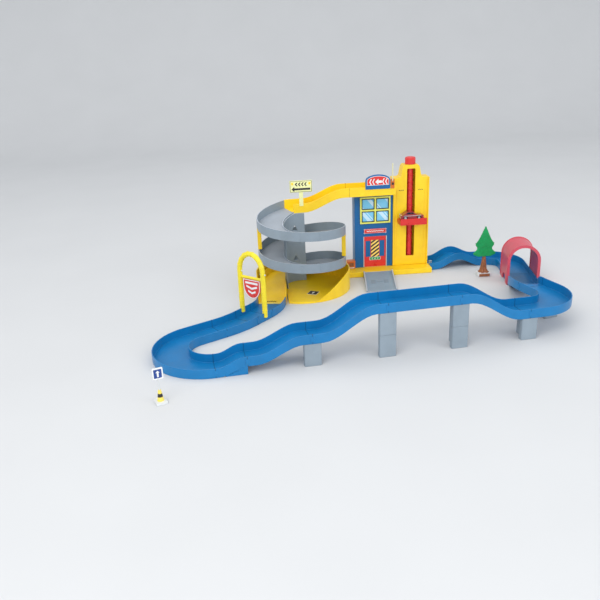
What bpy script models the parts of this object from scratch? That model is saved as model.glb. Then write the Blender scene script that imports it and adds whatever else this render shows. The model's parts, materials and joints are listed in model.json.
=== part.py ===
"""Toy parking garage: a lift tower, a shop front, a roof deck, a two-turn spiral ramp and a track loop.

Run with: blender --background --python part.py
The frame is in metres, +X to the right of the shop front, +Y to the back and +Z up.
The origin lies on the floor under the front face of the lift tower, on the tower's middle.
"""

import math

import bmesh
import bpy
from mathutils import Matrix, Vector

# General
GAP = 0.0003
WALL = 0.0024

# Building base
BASE_HEIGHT = 0.017
BASE_FRONT = -0.050
BASE_BACK = 0.085
BASE_SIDE_LIP = 0.004
TAB_LENGTH = 0.010
TAB_WIDTH = 0.008
TAB_HEIGHT = 0.016

# Lift tower
TOWER_CENTRE = 0.0055
TOWER_WIDTH = 0.117
TOWER_DEPTH = 0.044
TOWER_SHOULDER = 0.307
TOWER_TOP = 0.347
CROWN_FOOT = 0.066
CROWN_WIDTH = 0.054
TOWER_WALL = 0.003
TOWER_SPLIT = 0.034
RIM_WIDTH = 0.004
RIM_DEPTH = 0.006
SLOT_WIDTH = 0.027
SLOT_BOTTOM = 0.048
SLOT_TOP = 0.335

# Lift
SCREW_RADIUS = 0.011
SCREW_Y = 0.017
SPINDLE_RADIUS = 0.004
KNOB_RADIUS = 0.017
KNOB_HEIGHT = 0.022
KNOB_RIBS = 12
KNOB_RIB_DEPTH = 0.0014
PLATFORM_WIDTH = 0.086
PLATFORM_FRONT = -0.044
PLATFORM_FLOOR = 0.177
PLATFORM_THICK = 0.015
PLATFORM_RIM = 0.006
ARM_WIDTH = 0.022
ARM_LOW = 0.003
ARM_HEIGHT = 0.014
NUT_WALL = 0.0025
RUN_CLEARANCE = 0.0008

# Shop front
FACADE_WIDTH = 0.125
FACADE_DEPTH = 0.043
FACADE_WALL = 0.004
SHOP_OFFSET = 0.0577
DOOR_WIDTH = 0.074
DOOR_HEIGHT = 0.104
DOOR_THICK = 0.003
DOOR_BAR = 0.005
DOOR_HEAD = 0.014
DOOR_KICK = 0.034
DOOR_LIGHT_WIDTH = 0.016
DOOR_PIN_RADIUS = 0.001
DOOR_PIN_LENGTH = 0.003
WINDOW_WIDTH = 0.099
WINDOW_LOW = 0.165
WINDOW_HEIGHT = 0.087
WINDOW_BAR = 0.005
WINDOW_THICK = 0.004
DOOR_SIGN_WIDTH = 0.073
DOOR_SIGN_HEIGHT = 0.015
DOOR_SIGN_LOW = 0.132
PLATE_THICK = 0.002
EXIT_RAMP_WIDTH = 0.096
EXIT_RAMP_LENGTH = 0.145
EXIT_RAMP_RIM = 0.004
EXIT_RAMP_SLANT = 0.12
KIOSK_WIDTH = 0.026
KIOSK_DEPTH = 0.020
KIOSK_HEIGHT = 0.026

# Roof deck and chute
DECK_UNDERSIDE = 0.263
DECK_WIDTH = 0.086
DECK_WALL_HEIGHT = 0.029
DECK_LENGTH = 0.147
CHUTE_DROP = 0.037
ROOF_SIGN_WIDTH = 0.078
ROOF_SIGN_HEIGHT = 0.038
ROOF_SIGN_THICK = 0.004
ARROW_SIGN_WIDTH = 0.069
ARROW_SIGN_HEIGHT = 0.036
ARROW_SIGN_POST = 0.036
BARRIER_BASE_WIDTH = 0.011
BARRIER_BASE_DEPTH = 0.009
BARRIER_BASE_HEIGHT = 0.022
BARRIER_LENGTH = 0.052
BARRIER_WIDTH = 0.0035
CLIP_DROP = 0.007

# Spiral ramp
SPIRAL_X = -0.361
SPIRAL_Y = -0.110
SPIRAL_OUTER = 0.135
SPIRAL_INNER = 0.056
SPIRAL_PITCH = 0.096
SPIRAL_BACK_SHARE = 0.5
SPIRAL_WALL_HEIGHT = 0.028
SPIRAL_RIM = 0.005
SPIRAL_START = 108.0
SPIRAL_STEP = 12.0
CORE_START = 74.0
CORE_END = 204.0
CORE_WINDOW = 0.011
POST_WIDTH = 0.010
POST_DEPTH = 0.012
RIGHT_POST_ANGLE = 346.0
LEFT_POST_ANGLE = 180.0

# Round base and exit road
ROUND_RADIUS = 0.146
ROUND_FLOOR = 0.006
ROUND_WALL = 0.003
ROUND_WALL_TOP = 0.062
ROUND_WALL_START = -76.0
ROUND_WALL_END = 176.0
ROAD_LENGTH = 0.134
ROAD_END_WIDTH = 0.084
ROAD_TURN = -10.0

# Track
TRACK_WIDTH = 0.084
TRACK_WALL_HEIGHT = 0.024
BLOCK_HEIGHT = 0.057
BLOCK_WIDTH = 0.042
BLOCK_DEPTH = 0.050
BLOCK_WALL = 0.003
BLOCK_FACE = 0.014
BLOCK_RIB = 0.016
BLOCK_SPACING = 0.184
FOOT_RISE = 0.020
RISE_STEPS = 14
FOOT_RUN = 0.155
ADAPTER_LENGTH = 0.080
ADAPTER_TURN = -31.0
GATE_TRACK_LENGTH = 0.064
BEND_LENGTH = 0.097
BEND_TURN = -18.0
LEAD_LENGTH = 0.080
LOOP_RADIUS = 0.100
LOOP_BULGE = 0.008
RUN_HEADING = 6.0
FOOT_STRAIGHT = 0.075
TURN_STRAIGHT = 0.044
TURN_RADIUS = 0.080
TURN_HEADING = 106.0
TURN_TAIL = 0.066
TAIL_Y = 0.019
TAIL_HEADING = 79.5
TAIL_RADIUS = 0.070
TAIL_STRAIGHT = 0.076
TAIL_BEND = 0.050
TAIL_TURN = 5.0
HUMP_HEIGHT = 0.027
HUMP_LENGTH = 0.160
HUMP_FLAT = 0.016

# Tunnel
TUNNEL_LENGTH = 0.099
TUNNEL_WIDTH = 0.095
TUNNEL_HEIGHT = 0.124
TUNNEL_NOTCH = 0.022

# Gate over the track
GATE_TUBE = 0.0072
GATE_TOP = 0.195
GATE_RISE = 0.052
GATE_FOOT = 0.012
GATE_BAR = 0.004
GATE_BAR_HEIGHT = 0.119
GATE_SIGN_WIDTH = 0.060
GATE_SIGN_HEIGHT = 0.056
GATE_SIGN_STRAIGHT = 0.35

# Loose tree and street sign
TREE_X = 0.218
TREE_Y = -0.112
TREE_TOP = 0.162
TREE_SPREAD = 0.074
TREE_SKIRT = 0.064
TREE_THICK = 0.004
TREE_TONGUE = 0.012
TREE_TONGUE_HALF = 0.0024
TREE_TRUNK_FOOT = 0.0095
TREE_TRUNK_TOP = 0.0046
TREE_BASE_WIDTH = 0.042
TREE_BASE_DEPTH = 0.026
TREE_BASE_HEIGHT = 0.014
STREET_X = -0.737
STREET_Y = -0.788
STREET_TURN = 20.0
STREET_BASE_WIDTH = 0.025
STREET_BASE_DEPTH = 0.027
STREET_BASE_HEIGHT = 0.0055
STREET_CONE_FOOT = 0.0075
STREET_CONE_TIP = 0.0032
STREET_CONE_TOP = 0.031
STREET_PLATE_WIDTH = 0.0235
STREET_PLATE_HEIGHT = 0.0265
STREET_TOP = 0.083
STREET_POLE = 0.0019

# Car
CAR_LENGTH = 0.074
CAR_WIDTH = 0.030
CAR_HEIGHT = 0.026
CAR_CLEARANCE = 0.004
WHEEL_RADIUS = 0.0065
WHEEL_WIDTH = 0.0045
AXLE_RADIUS = 0.0012
WHEELBASE = 0.044
CAR_X = 0.003

TOWER_LEFT = TOWER_CENTRE - TOWER_WIDTH / 2
TOWER_RIGHT = TOWER_CENTRE + TOWER_WIDTH / 2
FACADE_RIGHT = TOWER_LEFT - GAP
FACADE_LEFT = FACADE_RIGHT - FACADE_WIDTH
SHOP_CENTRE = FACADE_RIGHT - SHOP_OFFSET
DECK_LEFT = FACADE_RIGHT - DECK_LENGTH
BASE_LEFT = SPIRAL_X + ROUND_RADIUS + GAP
BASE_RIGHT = TOWER_RIGHT + BASE_SIDE_LIP
FLOOR_ON_BASE = BASE_HEIGHT + GAP
SPIRAL_TOP = DECK_UNDERSIDE - CHUTE_DROP
LANE_MIDDLE = (SPIRAL_OUTER + SPIRAL_INNER) / 2
LANE_WIDTH = SPIRAL_OUTER - SPIRAL_INNER


def clear_scene():
    """Remove what the start-up file holds."""
    for item in list(bpy.data.objects):
        bpy.data.objects.remove(item, do_unlink=True)


def make_collection(name):
    group = bpy.data.collections.new(name)
    bpy.context.scene.collection.children.link(group)
    return group


clear_scene()
PARTS = make_collection("toy_parking_garage")
CUTTERS = make_collection("cutters")
CUTTERS.hide_render = True


def plastic(name, color, roughness=0.32, metallic=0.0):
    """Return a moulded plastic of one colour."""
    material = bpy.data.materials.new(name)
    material.use_nodes = True
    shader = material.node_tree.nodes["Principled BSDF"]
    shader.inputs["Base Color"].default_value = (*color, 1.0)
    shader.inputs["Roughness"].default_value = roughness
    shader.inputs["Metallic"].default_value = metallic
    material.diffuse_color = (*color, 1.0)
    return material


YELLOW = plastic("yellow_plastic", (1.0, 0.68, 0.02))
GREY = plastic("grey_plastic", (0.30, 0.34, 0.37), 0.4)
RED = plastic("red_plastic", (0.75, 0.02, 0.02))
BLUE = plastic("facade_blue", (0.0, 0.12, 0.42))
TRACK_BLUE = plastic("track_blue", (0.0, 0.22, 0.70))
PINK_RED = plastic("tunnel_red", (0.80, 0.06, 0.08))
GREEN = plastic("tree_green", (0.0, 0.35, 0.08), 0.5)
BROWN = plastic("trunk_brown", (0.22, 0.07, 0.02), 0.55)
ORANGE = plastic("orange_plastic", (0.85, 0.18, 0.02))
PALE = plastic("pale_plastic", (0.75, 0.76, 0.72))
WINDOW_BLUE = plastic("window_blue", (0.25, 0.6, 0.85), 0.15)
CAR_RED = plastic("car_red", (0.55, 0.01, 0.03), 0.2, 0.3)
BLACK = plastic("black_plastic", (0.02, 0.02, 0.02), 0.5)


def add_mesh(name, bm, material, smooth_angle=0.6):
    """Turn a bmesh into an object of the model."""
    mesh = bpy.data.meshes.new(name)
    bm.to_mesh(mesh)
    bm.free()
    mesh.materials.append(material)
    mesh.shade_smooth()
    mesh.set_sharp_from_angle(angle=smooth_angle)
    item = bpy.data.objects.new(name, mesh)
    PARTS.objects.link(item)
    return item


def move_origin(item, point):
    """Put an object's origin on its joint's axis and keep its shape where it is."""
    item.data.transform(Matrix.Translation(-Vector(point)))
    item.location = point


def make_cutter(item):
    """Take an object out of the model and keep it as a guide for a cut."""
    PARTS.objects.unlink(item)
    CUTTERS.objects.link(item)
    item.hide_render = True
    item.display_type = 'WIRE'
    return item


def boolean(item, other, operation):
    modifier = item.modifiers.new(operation.lower(), 'BOOLEAN')
    modifier.operation = operation
    modifier.object = make_cutter(other)


def cut(item, other):
    boolean(item, other, 'DIFFERENCE')


def join(item, other):
    boolean(item, other, 'UNION')


def bevel(item, width, segments=2):
    modifier = item.modifiers.new("rounded_edges", 'BEVEL')
    modifier.width = width
    modifier.segments = segments
    modifier.limit_method = 'ANGLE'
    modifier.angle_limit = math.radians(40)


def box(name, low, high, material):
    """Return a box between two corners."""
    bm = bmesh.new()
    bmesh.ops.create_cube(bm, size=1.0)
    size = [high[i] - low[i] for i in range(3)]
    middle = [(high[i] + low[i]) / 2 for i in range(3)]
    bmesh.ops.scale(bm, vec=size, verts=bm.verts)
    bmesh.ops.translate(bm, vec=middle, verts=bm.verts)
    return add_mesh(name, bm, material)


def cylinder(name, radius, start, end, material, sides=24, end_radius=None):
    """Return a cylinder or a cone between two points on its axis."""
    axis = Vector(end) - Vector(start)
    bm = bmesh.new()
    bmesh.ops.create_cone(
        bm, cap_ends=True, segments=sides, radius1=radius,
        radius2=radius if end_radius is None else end_radius, depth=axis.length)
    turn = axis.to_track_quat('Z', 'Y').to_matrix().to_4x4()
    place = Matrix.Translation((Vector(start) + Vector(end)) / 2) @ turn
    bmesh.ops.transform(bm, matrix=place, verts=bm.verts)
    return add_mesh(name, bm, material)


def slab(name, outline, depth, material, place=None):
    """Extrude a closed outline, drawn in X and Y, from z = 0 up to depth."""
    bm = bmesh.new()
    face = bm.faces.new([bm.verts.new((x, y, 0.0)) for x, y in outline])
    grown = bmesh.ops.extrude_face_region(bm, geom=[face])
    moved = [v for v in grown["geom"] if isinstance(v, bmesh.types.BMVert)]
    bmesh.ops.translate(bm, vec=(0, 0, depth), verts=moved)
    if place is not None:
        bmesh.ops.transform(bm, matrix=place, verts=bm.verts)
    bmesh.ops.recalc_face_normals(bm, faces=bm.faces)
    return add_mesh(name, bm, material)


def upright(y_front):
    """Return the turn that stands an outline up: its Y becomes Z, its depth runs to the back."""
    return Matrix.Translation((0, y_front, 0)) @ Matrix(
        ((1, 0, 0, 0), (0, 0, 1, 0), (0, 1, 0, 0), (0, 0, 0, 1)))


def rounded_rectangle(x0, y0, x1, y1, radius, steps=3):
    """Return the outline of a rectangle with round corners."""
    points = []
    corners = ((x1 - radius, y1 - radius, 0), (x0 + radius, y1 - radius, 90),
               (x0 + radius, y0 + radius, 180), (x1 - radius, y0 + radius, 270))
    for cx, cy, start in corners:
        for i in range(steps + 1):
            angle = math.radians(start + 90 * i / steps)
            points.append((cx + radius * math.cos(angle), cy + radius * math.sin(angle)))
    return points


def arc(cx, cy, radius, start, end, steps):
    """Return points along an arc, in degrees."""
    points = []
    for i in range(steps + 1):
        angle = math.radians(start + (end - start) * i / steps)
        points.append((cx + radius * math.cos(angle), cy + radius * math.sin(angle)))
    return points


def channel(name, stations, material, wall=WALL):
    """Build a lane with side walls.

    Each station holds the left and right edge in plan, the height of the lane's underside and
    the heights of its left and right wall, as seen along the way. The open strip through
    them is the outer skin, which Solidify thickens inwards.
    """
    bm = bmesh.new()
    rows = []
    for left, right, z, left_wall, right_wall in stations:
        heights = ((left, z + left_wall), (left, z), (right, z), (right, z + right_wall))
        rows.append([bm.verts.new((point[0], point[1], height)) for point, height in heights])
    for row, following in zip(rows, rows[1:]):
        for i in range(3):
            bm.faces.new((row[i], following[i], following[i + 1], row[i + 1]))
    item = add_mesh(name, bm, material)
    modifier = item.modifiers.new("lane_wall", 'SOLIDIFY')
    modifier.thickness = wall
    modifier.offset = -1.0
    modifier.use_even_offset = True
    return item


def ease(share, flat):
    """Return a rise from 0 to 1 with level ends and a straight middle."""
    share = min(max((share - flat) / (1 - 2 * flat), 0.0), 1.0)
    return share * share * (3 - 2 * share)


class Pose:
    """A place and a heading in plan, which moves along a track."""

    def __init__(self, x, y, heading):
        self.x = x
        self.y = y
        self.heading = heading

    def ahead(self, length, turn=0.0):
        """Return the pose after a run of this length that turns by this many degrees."""
        middle = math.radians(self.heading + turn / 2)
        half = math.radians(turn) / 2
        chord = length if abs(half) < 1e-9 else length * math.sin(half) / half
        return Pose(self.x + chord * math.cos(middle), self.y + chord * math.sin(middle),
                    self.heading + turn)

    def side(self, offset):
        """Return a point beside the pose, to the left when the offset is positive."""
        angle = math.radians(self.heading)
        return (self.x - offset * math.sin(angle), self.y + offset * math.cos(angle))


def lane_stations(start, length, turn, steps, width, height, wall, end_width=None, bulge=0.0):
    """Return the stations of a lane that runs ahead of a pose; height is a function of share."""
    trim = GAP / 2
    stations = []
    end_width = width if end_width is None else end_width
    for i in range(steps + 1):
        share = i / steps
        span = min(max(share * length, trim), length - trim)
        pose = start.ahead(span, turn * span / length)
        half = (width + (end_width - width) * share + bulge * math.sin(math.pi * share)) / 2
        stations.append((pose.side(half), pose.side(-half), height(share), wall, wall))
    return stations


def level(z):
    return lambda share: z


def building_base():
    """The yellow base that carries the shop front and the lift tower."""
    item = box("building_base", (BASE_LEFT, BASE_FRONT, 0), (BASE_RIGHT, BASE_BACK, BASE_HEIGHT),
               YELLOW)
    bevel(item, 0.0015, 2)
    left = BASE_RIGHT + GAP
    tab = box("track_tab", (left, -TAB_WIDTH * 1.5, BASE_HEIGHT - TAB_HEIGHT / 4),
              (left + TAB_LENGTH, -TAB_WIDTH / 2, BASE_HEIGHT + TAB_HEIGHT * 3 / 4), GREY)
    bevel(tab, 0.001, 2)


def tower_outline(inset, foot):
    """Return the tower's front outline, drawn in by an inset."""
    half = TOWER_WIDTH / 2 - inset
    crown_foot = CROWN_FOOT / 2 - inset
    crown = CROWN_WIDTH / 2 - inset
    top = TOWER_TOP - inset
    shoulder = TOWER_SHOULDER - inset
    right = [(half, foot), (half, shoulder), (crown_foot + 0.006, shoulder),
             (crown_foot, shoulder + 0.004), (crown, top - 0.006), (crown - 0.005, top)]
    outline = right + [(-x, z) for x, z in reversed(right)]
    return [(TOWER_CENTRE + x, z) for x, z in outline]


def tower():
    """The tower's front shell with the lift slot, and its back shell."""
    foot = FLOOR_ON_BASE
    front = slab("tower_front", tower_outline(0, foot), TOWER_SPLIT, YELLOW, upright(0))
    pocket = slab("tower_pocket", tower_outline(TOWER_WALL, foot - TOWER_WALL),
                  TOWER_SPLIT, YELLOW, upright(TOWER_WALL))
    cut(front, pocket)
    half_slot = SLOT_WIDTH / 2
    outline = rounded_rectangle(TOWER_CENTRE - half_slot, SLOT_BOTTOM, TOWER_CENTRE + half_slot,
                                SLOT_TOP, TOWER_WALL)
    slot = slab("lift_slot", outline, TOWER_WALL * 4, YELLOW, upright(-TOWER_WALL))
    cut(front, slot)
    hole = cylinder("spindle_hole", SPINDLE_RADIUS + GAP, (TOWER_CENTRE, SCREW_Y, TOWER_TOP - 0.02),
                    (TOWER_CENTRE, SCREW_Y, TOWER_TOP + 0.02), YELLOW, 16)
    cut(front, hole)
    for side in (-1, 1):
        x = TOWER_CENTRE + side * (TOWER_WIDTH / 2 - RIM_WIDTH / 2)
        rim = box("side_rim", (x - RIM_WIDTH / 2, -RIM_DEPTH, foot),
                  (x + RIM_WIDTH / 2, TOWER_WALL / 2, TOWER_SHOULDER), YELLOW)
        join(front, rim)
    back = slab("tower_back", tower_outline(0, foot), TOWER_DEPTH - TOWER_SPLIT - GAP, YELLOW,
                upright(TOWER_SPLIT + GAP))
    hollow = slab("back_pocket", tower_outline(TOWER_WALL, foot - TOWER_WALL),
                  TOWER_DEPTH - TOWER_SPLIT - TOWER_WALL, YELLOW, upright(TOWER_SPLIT - GAP))
    cut(back, hollow)


def lift():
    """The screw, its knob, and the platform with its nut, which the screw lifts."""
    bottom = FLOOR_ON_BASE
    top = TOWER_TOP - TOWER_WALL - GAP
    screw = cylinder("lift_screw", SCREW_RADIUS, (TOWER_CENTRE, SCREW_Y, bottom),
                     (TOWER_CENTRE, SCREW_Y, top), RED, 20)
    spindle = cylinder("spindle", SPINDLE_RADIUS, (TOWER_CENTRE, SCREW_Y, top - 0.004),
                       (TOWER_CENTRE, SCREW_Y, TOWER_TOP + KNOB_HEIGHT * 0.6), RED, 16)
    join(screw, spindle)
    move_origin(screw, (TOWER_CENTRE, SCREW_Y, bottom))
    knob_low = TOWER_TOP + GAP * 2
    outline = []
    for i in range(KNOB_RIBS * 4):
        radius = KNOB_RADIUS if i % 4 in (0, 1) else KNOB_RADIUS - KNOB_RIB_DEPTH
        angle = 2 * math.pi * i / (KNOB_RIBS * 4)
        outline.append((radius * math.cos(angle), radius * math.sin(angle)))
    knob = slab("lift_knob", outline, KNOB_HEIGHT, RED,
                Matrix.Translation((TOWER_CENTRE, SCREW_Y, knob_low)))
    bore = cylinder("knob_bore", SPINDLE_RADIUS + GAP, (TOWER_CENTRE, SCREW_Y, knob_low - 0.01),
                    (TOWER_CENTRE, SCREW_Y, TOWER_TOP + KNOB_HEIGHT * 0.6 + GAP), RED, 16)
    cut(knob, bore)
    move_origin(knob, (TOWER_CENTRE, SCREW_Y, knob_low))
    half = PLATFORM_WIDTH / 2
    low = PLATFORM_FLOOR - PLATFORM_THICK
    back = -RUN_CLEARANCE
    platform = box("lift_platform", (TOWER_CENTRE - half, PLATFORM_FRONT, low),
                   (TOWER_CENTRE + half, back, PLATFORM_FLOOR), RED)
    rim = box("platform_rim", (TOWER_CENTRE - half, PLATFORM_FRONT, low + 0.002),
              (TOWER_CENTRE + half, PLATFORM_FRONT + WALL, PLATFORM_FLOOR + PLATFORM_RIM), RED)
    join(platform, rim)
    arm_low = PLATFORM_FLOOR + ARM_LOW
    plate = box("platform_back", (TOWER_CENTRE - ARM_WIDTH / 2, back - 0.003, low + 0.003),
                (TOWER_CENTRE + ARM_WIDTH / 2, back, arm_low + ARM_HEIGHT), RED)
    join(platform, plate)
    arm = box("platform_arm", (TOWER_CENTRE - ARM_WIDTH / 2, back - 0.002, arm_low),
              (TOWER_CENTRE + ARM_WIDTH / 2, SCREW_Y, arm_low + ARM_HEIGHT), RED)
    join(platform, arm)
    nut_radius = SCREW_RADIUS + RUN_CLEARANCE + NUT_WALL
    nut = cylinder("platform_nut", nut_radius, (TOWER_CENTRE, SCREW_Y, arm_low),
                   (TOWER_CENTRE, SCREW_Y, arm_low + ARM_HEIGHT), RED, 20)
    join(platform, nut)
    bore = cylinder("nut_bore", SCREW_RADIUS + RUN_CLEARANCE, (TOWER_CENTRE, SCREW_Y, arm_low - 0.01),
                    (TOWER_CENTRE, SCREW_Y, arm_low + ARM_HEIGHT + 0.01), RED, 20)
    cut(platform, bore)
    move_origin(platform, (TOWER_CENTRE, SCREW_Y, PLATFORM_FLOOR))


def shop_front():
    """The blue shop front with its doorway, window, door sign and kiosk."""
    foot = BASE_HEIGHT + GAP
    top = DECK_UNDERSIDE - GAP
    wall = box("facade_wall", (FACADE_LEFT, 0, foot), (FACADE_RIGHT, FACADE_DEPTH, top), BLUE)
    room = box("shop_room", (FACADE_LEFT + FACADE_WALL, FACADE_WALL, foot - 0.01),
               (FACADE_RIGHT - FACADE_WALL, FACADE_DEPTH + 0.01, top - FACADE_WALL), BLUE)
    cut(wall, room)
    door_left = SHOP_CENTRE - DOOR_WIDTH / 2
    door_right = SHOP_CENTRE + DOOR_WIDTH / 2
    doorway = box("doorway", (door_left, -0.01, foot - 0.01),
                  (door_right, FACADE_WALL + 0.01, foot + DOOR_HEIGHT), BLUE)
    cut(wall, doorway)
    inset = WINDOW_BAR
    window_left = SHOP_CENTRE - WINDOW_WIDTH / 2
    window_right = SHOP_CENTRE + WINDOW_WIDTH / 2
    opening = box("window_opening", (window_left + inset, -0.01, WINDOW_LOW + inset),
                  (window_right - inset, FACADE_WALL + 0.01, WINDOW_LOW + WINDOW_HEIGHT - inset), BLUE)
    cut(wall, opening)
    frame = box("window_frame", (window_left, -WINDOW_THICK - GAP, WINDOW_LOW),
                (window_right, -GAP, WINDOW_LOW + WINDOW_HEIGHT), YELLOW)
    pane_width = (WINDOW_WIDTH - 3 * WINDOW_BAR) / 2
    pane_height = (WINDOW_HEIGHT - 3 * WINDOW_BAR) / 2
    for column in range(2):
        for row in range(2):
            x = window_left + WINDOW_BAR + column * (pane_width + WINDOW_BAR)
            z = WINDOW_LOW + WINDOW_BAR + row * (pane_height + WINDOW_BAR)
            light = box("window_light", (x, -0.02, z), (x + pane_width, 0.02, z + pane_height), YELLOW)
            cut(frame, light)
    glass = box("window_glass", (window_left + inset + GAP, 0, WINDOW_LOW + inset + GAP),
                (window_right - inset - GAP, PLATE_THICK, WINDOW_LOW + WINDOW_HEIGHT - inset - GAP),
                WINDOW_BLUE)
    bevel(glass, 0.0003, 1)
    sign = box("door_sign", (SHOP_CENTRE - DOOR_SIGN_WIDTH / 2, -PLATE_THICK - GAP, DOOR_SIGN_LOW),
               (SHOP_CENTRE + DOOR_SIGN_WIDTH / 2, -GAP, DOOR_SIGN_LOW + DOOR_SIGN_HEIGHT), RED)
    bevel(sign, 0.0005, 1)
    kiosk_right = FACADE_LEFT - GAP
    kiosk = box("kiosk", (kiosk_right - KIOSK_WIDTH, -KIOSK_DEPTH / 2, foot),
                (kiosk_right, KIOSK_DEPTH / 2, foot + KIOSK_HEIGHT), ORANGE)
    bevel(kiosk, 0.0015, 2)


def door():
    """The red door, which swings out on the pins at its top."""
    foot = BASE_HEIGHT + GAP
    left = SHOP_CENTRE - DOOR_WIDTH / 2 + RUN_CLEARANCE
    right = SHOP_CENTRE + DOOR_WIDTH / 2 - RUN_CLEARANCE
    top = foot + DOOR_HEIGHT - RUN_CLEARANCE
    low = foot + RUN_CLEARANCE
    front = (FACADE_WALL - DOOR_THICK) / 2
    leaf = box("door_leaf", (left, front, low), (right, front + DOOR_THICK, top), RED)
    for x in (left + DOOR_BAR, right - DOOR_BAR - DOOR_LIGHT_WIDTH):
        light = box("door_light", (x, -DOOR_BAR, low + DOOR_KICK),
                    (x + DOOR_LIGHT_WIDTH, DOOR_BAR * 2, top - DOOR_HEAD), RED)
        cut(leaf, light)
    pivot_y = FACADE_WALL / 2
    pivot_z = top - DOOR_THICK / 2
    reach = DOOR_WIDTH / 2 + DOOR_PIN_LENGTH
    pin = cylinder("door_pin", DOOR_PIN_RADIUS, (SHOP_CENTRE - reach, pivot_y, pivot_z),
                   (SHOP_CENTRE + reach, pivot_y, pivot_z), RED, 12)
    join(leaf, pin)
    reach += GAP
    hole = cylinder("door_pin_hole", DOOR_PIN_RADIUS + GAP, (SHOP_CENTRE - reach, pivot_y, pivot_z),
                    (SHOP_CENTRE + reach, pivot_y, pivot_z), RED, 12)
    cut(bpy.data.objects["facade_wall"], hole)
    move_origin(leaf, (SHOP_CENTRE, pivot_y, pivot_z))


def exit_ramp():
    """The grey ramp in front of the door, whose sides slant a little to the left."""
    left = SHOP_CENTRE - EXIT_RAMP_WIDTH / 2
    start = BASE_FRONT - GAP
    end = start - EXIT_RAMP_LENGTH
    top = BASE_HEIGHT
    toe = BASE_HEIGHT / 8
    profile = [(start, 0), (start, top), (start - toe * 2, top), (end + toe, toe), (end, toe), (end, 0)]
    slant = EXIT_RAMP_SLANT

    def lay(x):
        """Return the turn that lays a profile along Y and Z at this X, with the slant."""
        return Matrix(((slant, 0, 1, x - slant * start), (1, 0, 0, 0), (0, 1, 0, 0), (0, 0, 0, 1)))

    item = slab("exit_ramp", profile, EXIT_RAMP_WIDTH, GREY, lay(left))
    rim = [(y, z + EXIT_RAMP_RIM) if z > 0 else (y, z) for y, z in profile]
    for x in (left, left + EXIT_RAMP_WIDTH - EXIT_RAMP_RIM):
        join(item, slab("ramp_rim", rim, EXIT_RAMP_RIM, GREY, lay(x)))


def roof_deck():
    """The roof deck over the shop, open at both ends."""
    start = Pose(FACADE_RIGHT, 0, 180)
    stations = lane_stations(start, DECK_LENGTH, 0, 1, DECK_WIDTH, level(DECK_UNDERSIDE),
                             DECK_WALL_HEIGHT)
    channel("roof_deck", stations, YELLOW)


def roof_chute():
    """The chute from the deck to the head of the spiral, swinging forward as it falls."""
    begin_x = DECK_LEFT - GAP / 2
    end_x = SPIRAL_X
    end_y = SPIRAL_Y + LANE_MIDDLE
    stations = []
    steps = 12
    for i in range(steps + 1):
        share = i / steps
        x = begin_x + (end_x - begin_x) * share
        y = end_y * ease(share, 0.1)
        half = (DECK_WIDTH + (LANE_WIDTH - DECK_WIDTH) * share) / 2
        z = DECK_UNDERSIDE - CHUTE_DROP * ease(share, 0.1)
        stations.append(((x, y - half), (x, y + half), z, DECK_WALL_HEIGHT, DECK_WALL_HEIGHT))
    last = SPIRAL_START - 0.15
    for angle in (last - 6.0, last):
        inner = spiral_point(angle, SPIRAL_INNER)
        outer = spiral_point(angle, SPIRAL_OUTER)
        stations.append((inner, outer, SPIRAL_TOP, DECK_WALL_HEIGHT, DECK_WALL_HEIGHT))
    channel("roof_chute", stations, YELLOW)


def spiral_point(angle, radius):
    turn = math.radians(angle)
    return (SPIRAL_X + radius * math.cos(turn), SPIRAL_Y + radius * math.sin(turn))


def spiral_height(angle):
    """Return the ramp's underside: it falls faster at the back of each turn than at the front."""
    start = math.radians(SPIRAL_START)
    turn = math.radians(angle)
    run = turn - start + SPIRAL_BACK_SHARE * (math.cos(start) - math.cos(turn))
    return SPIRAL_TOP - SPIRAL_PITCH * run / (2 * math.pi)


def spiral_stations(start, end, outer_wall, inner_wall):
    stations = []
    steps = round((end - start) / SPIRAL_STEP)
    for i in range(steps + 1):
        angle = start + (end - start) * i / steps
        stations.append((spiral_point(angle, SPIRAL_INNER), spiral_point(angle, SPIRAL_OUTER),
                         spiral_height(angle), inner_wall, outer_wall))
    return stations


def spiral():
    """The two turns of the ramp, the core they wind round, and the posts between them."""
    trim = 0.15
    first_end = SPIRAL_START + 360
    second_end = first_end + 360
    channel("ramp_upper", spiral_stations(SPIRAL_START + trim, first_end - trim,
                                          SPIRAL_WALL_HEIGHT, SPIRAL_RIM), GREY)
    channel("ramp_lower", spiral_stations(first_end + trim, second_end - trim,
                                          SPIRAL_WALL_HEIGHT, SPIRAL_RIM), GREY)
    for name, angle in (("post_left", LEFT_POST_ANGLE), ("post_right", RIGHT_POST_ANGLE)):
        half_turn = math.degrees(POST_WIDTH / 2 / SPIRAL_OUTER)
        low = spiral_height(angle + 360 - half_turn) + SPIRAL_WALL_HEIGHT + GAP
        high = spiral_height(angle + half_turn) - GAP
        post = box(name, (SPIRAL_OUTER - POST_DEPTH, -POST_WIDTH / 2, low),
                   (SPIRAL_OUTER, POST_WIDTH / 2, high), YELLOW)
        place = Matrix.Translation((SPIRAL_X, SPIRAL_Y, 0)) @ Matrix.Rotation(
            math.radians(angle), 4, 'Z')
        post.data.transform(place)


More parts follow.
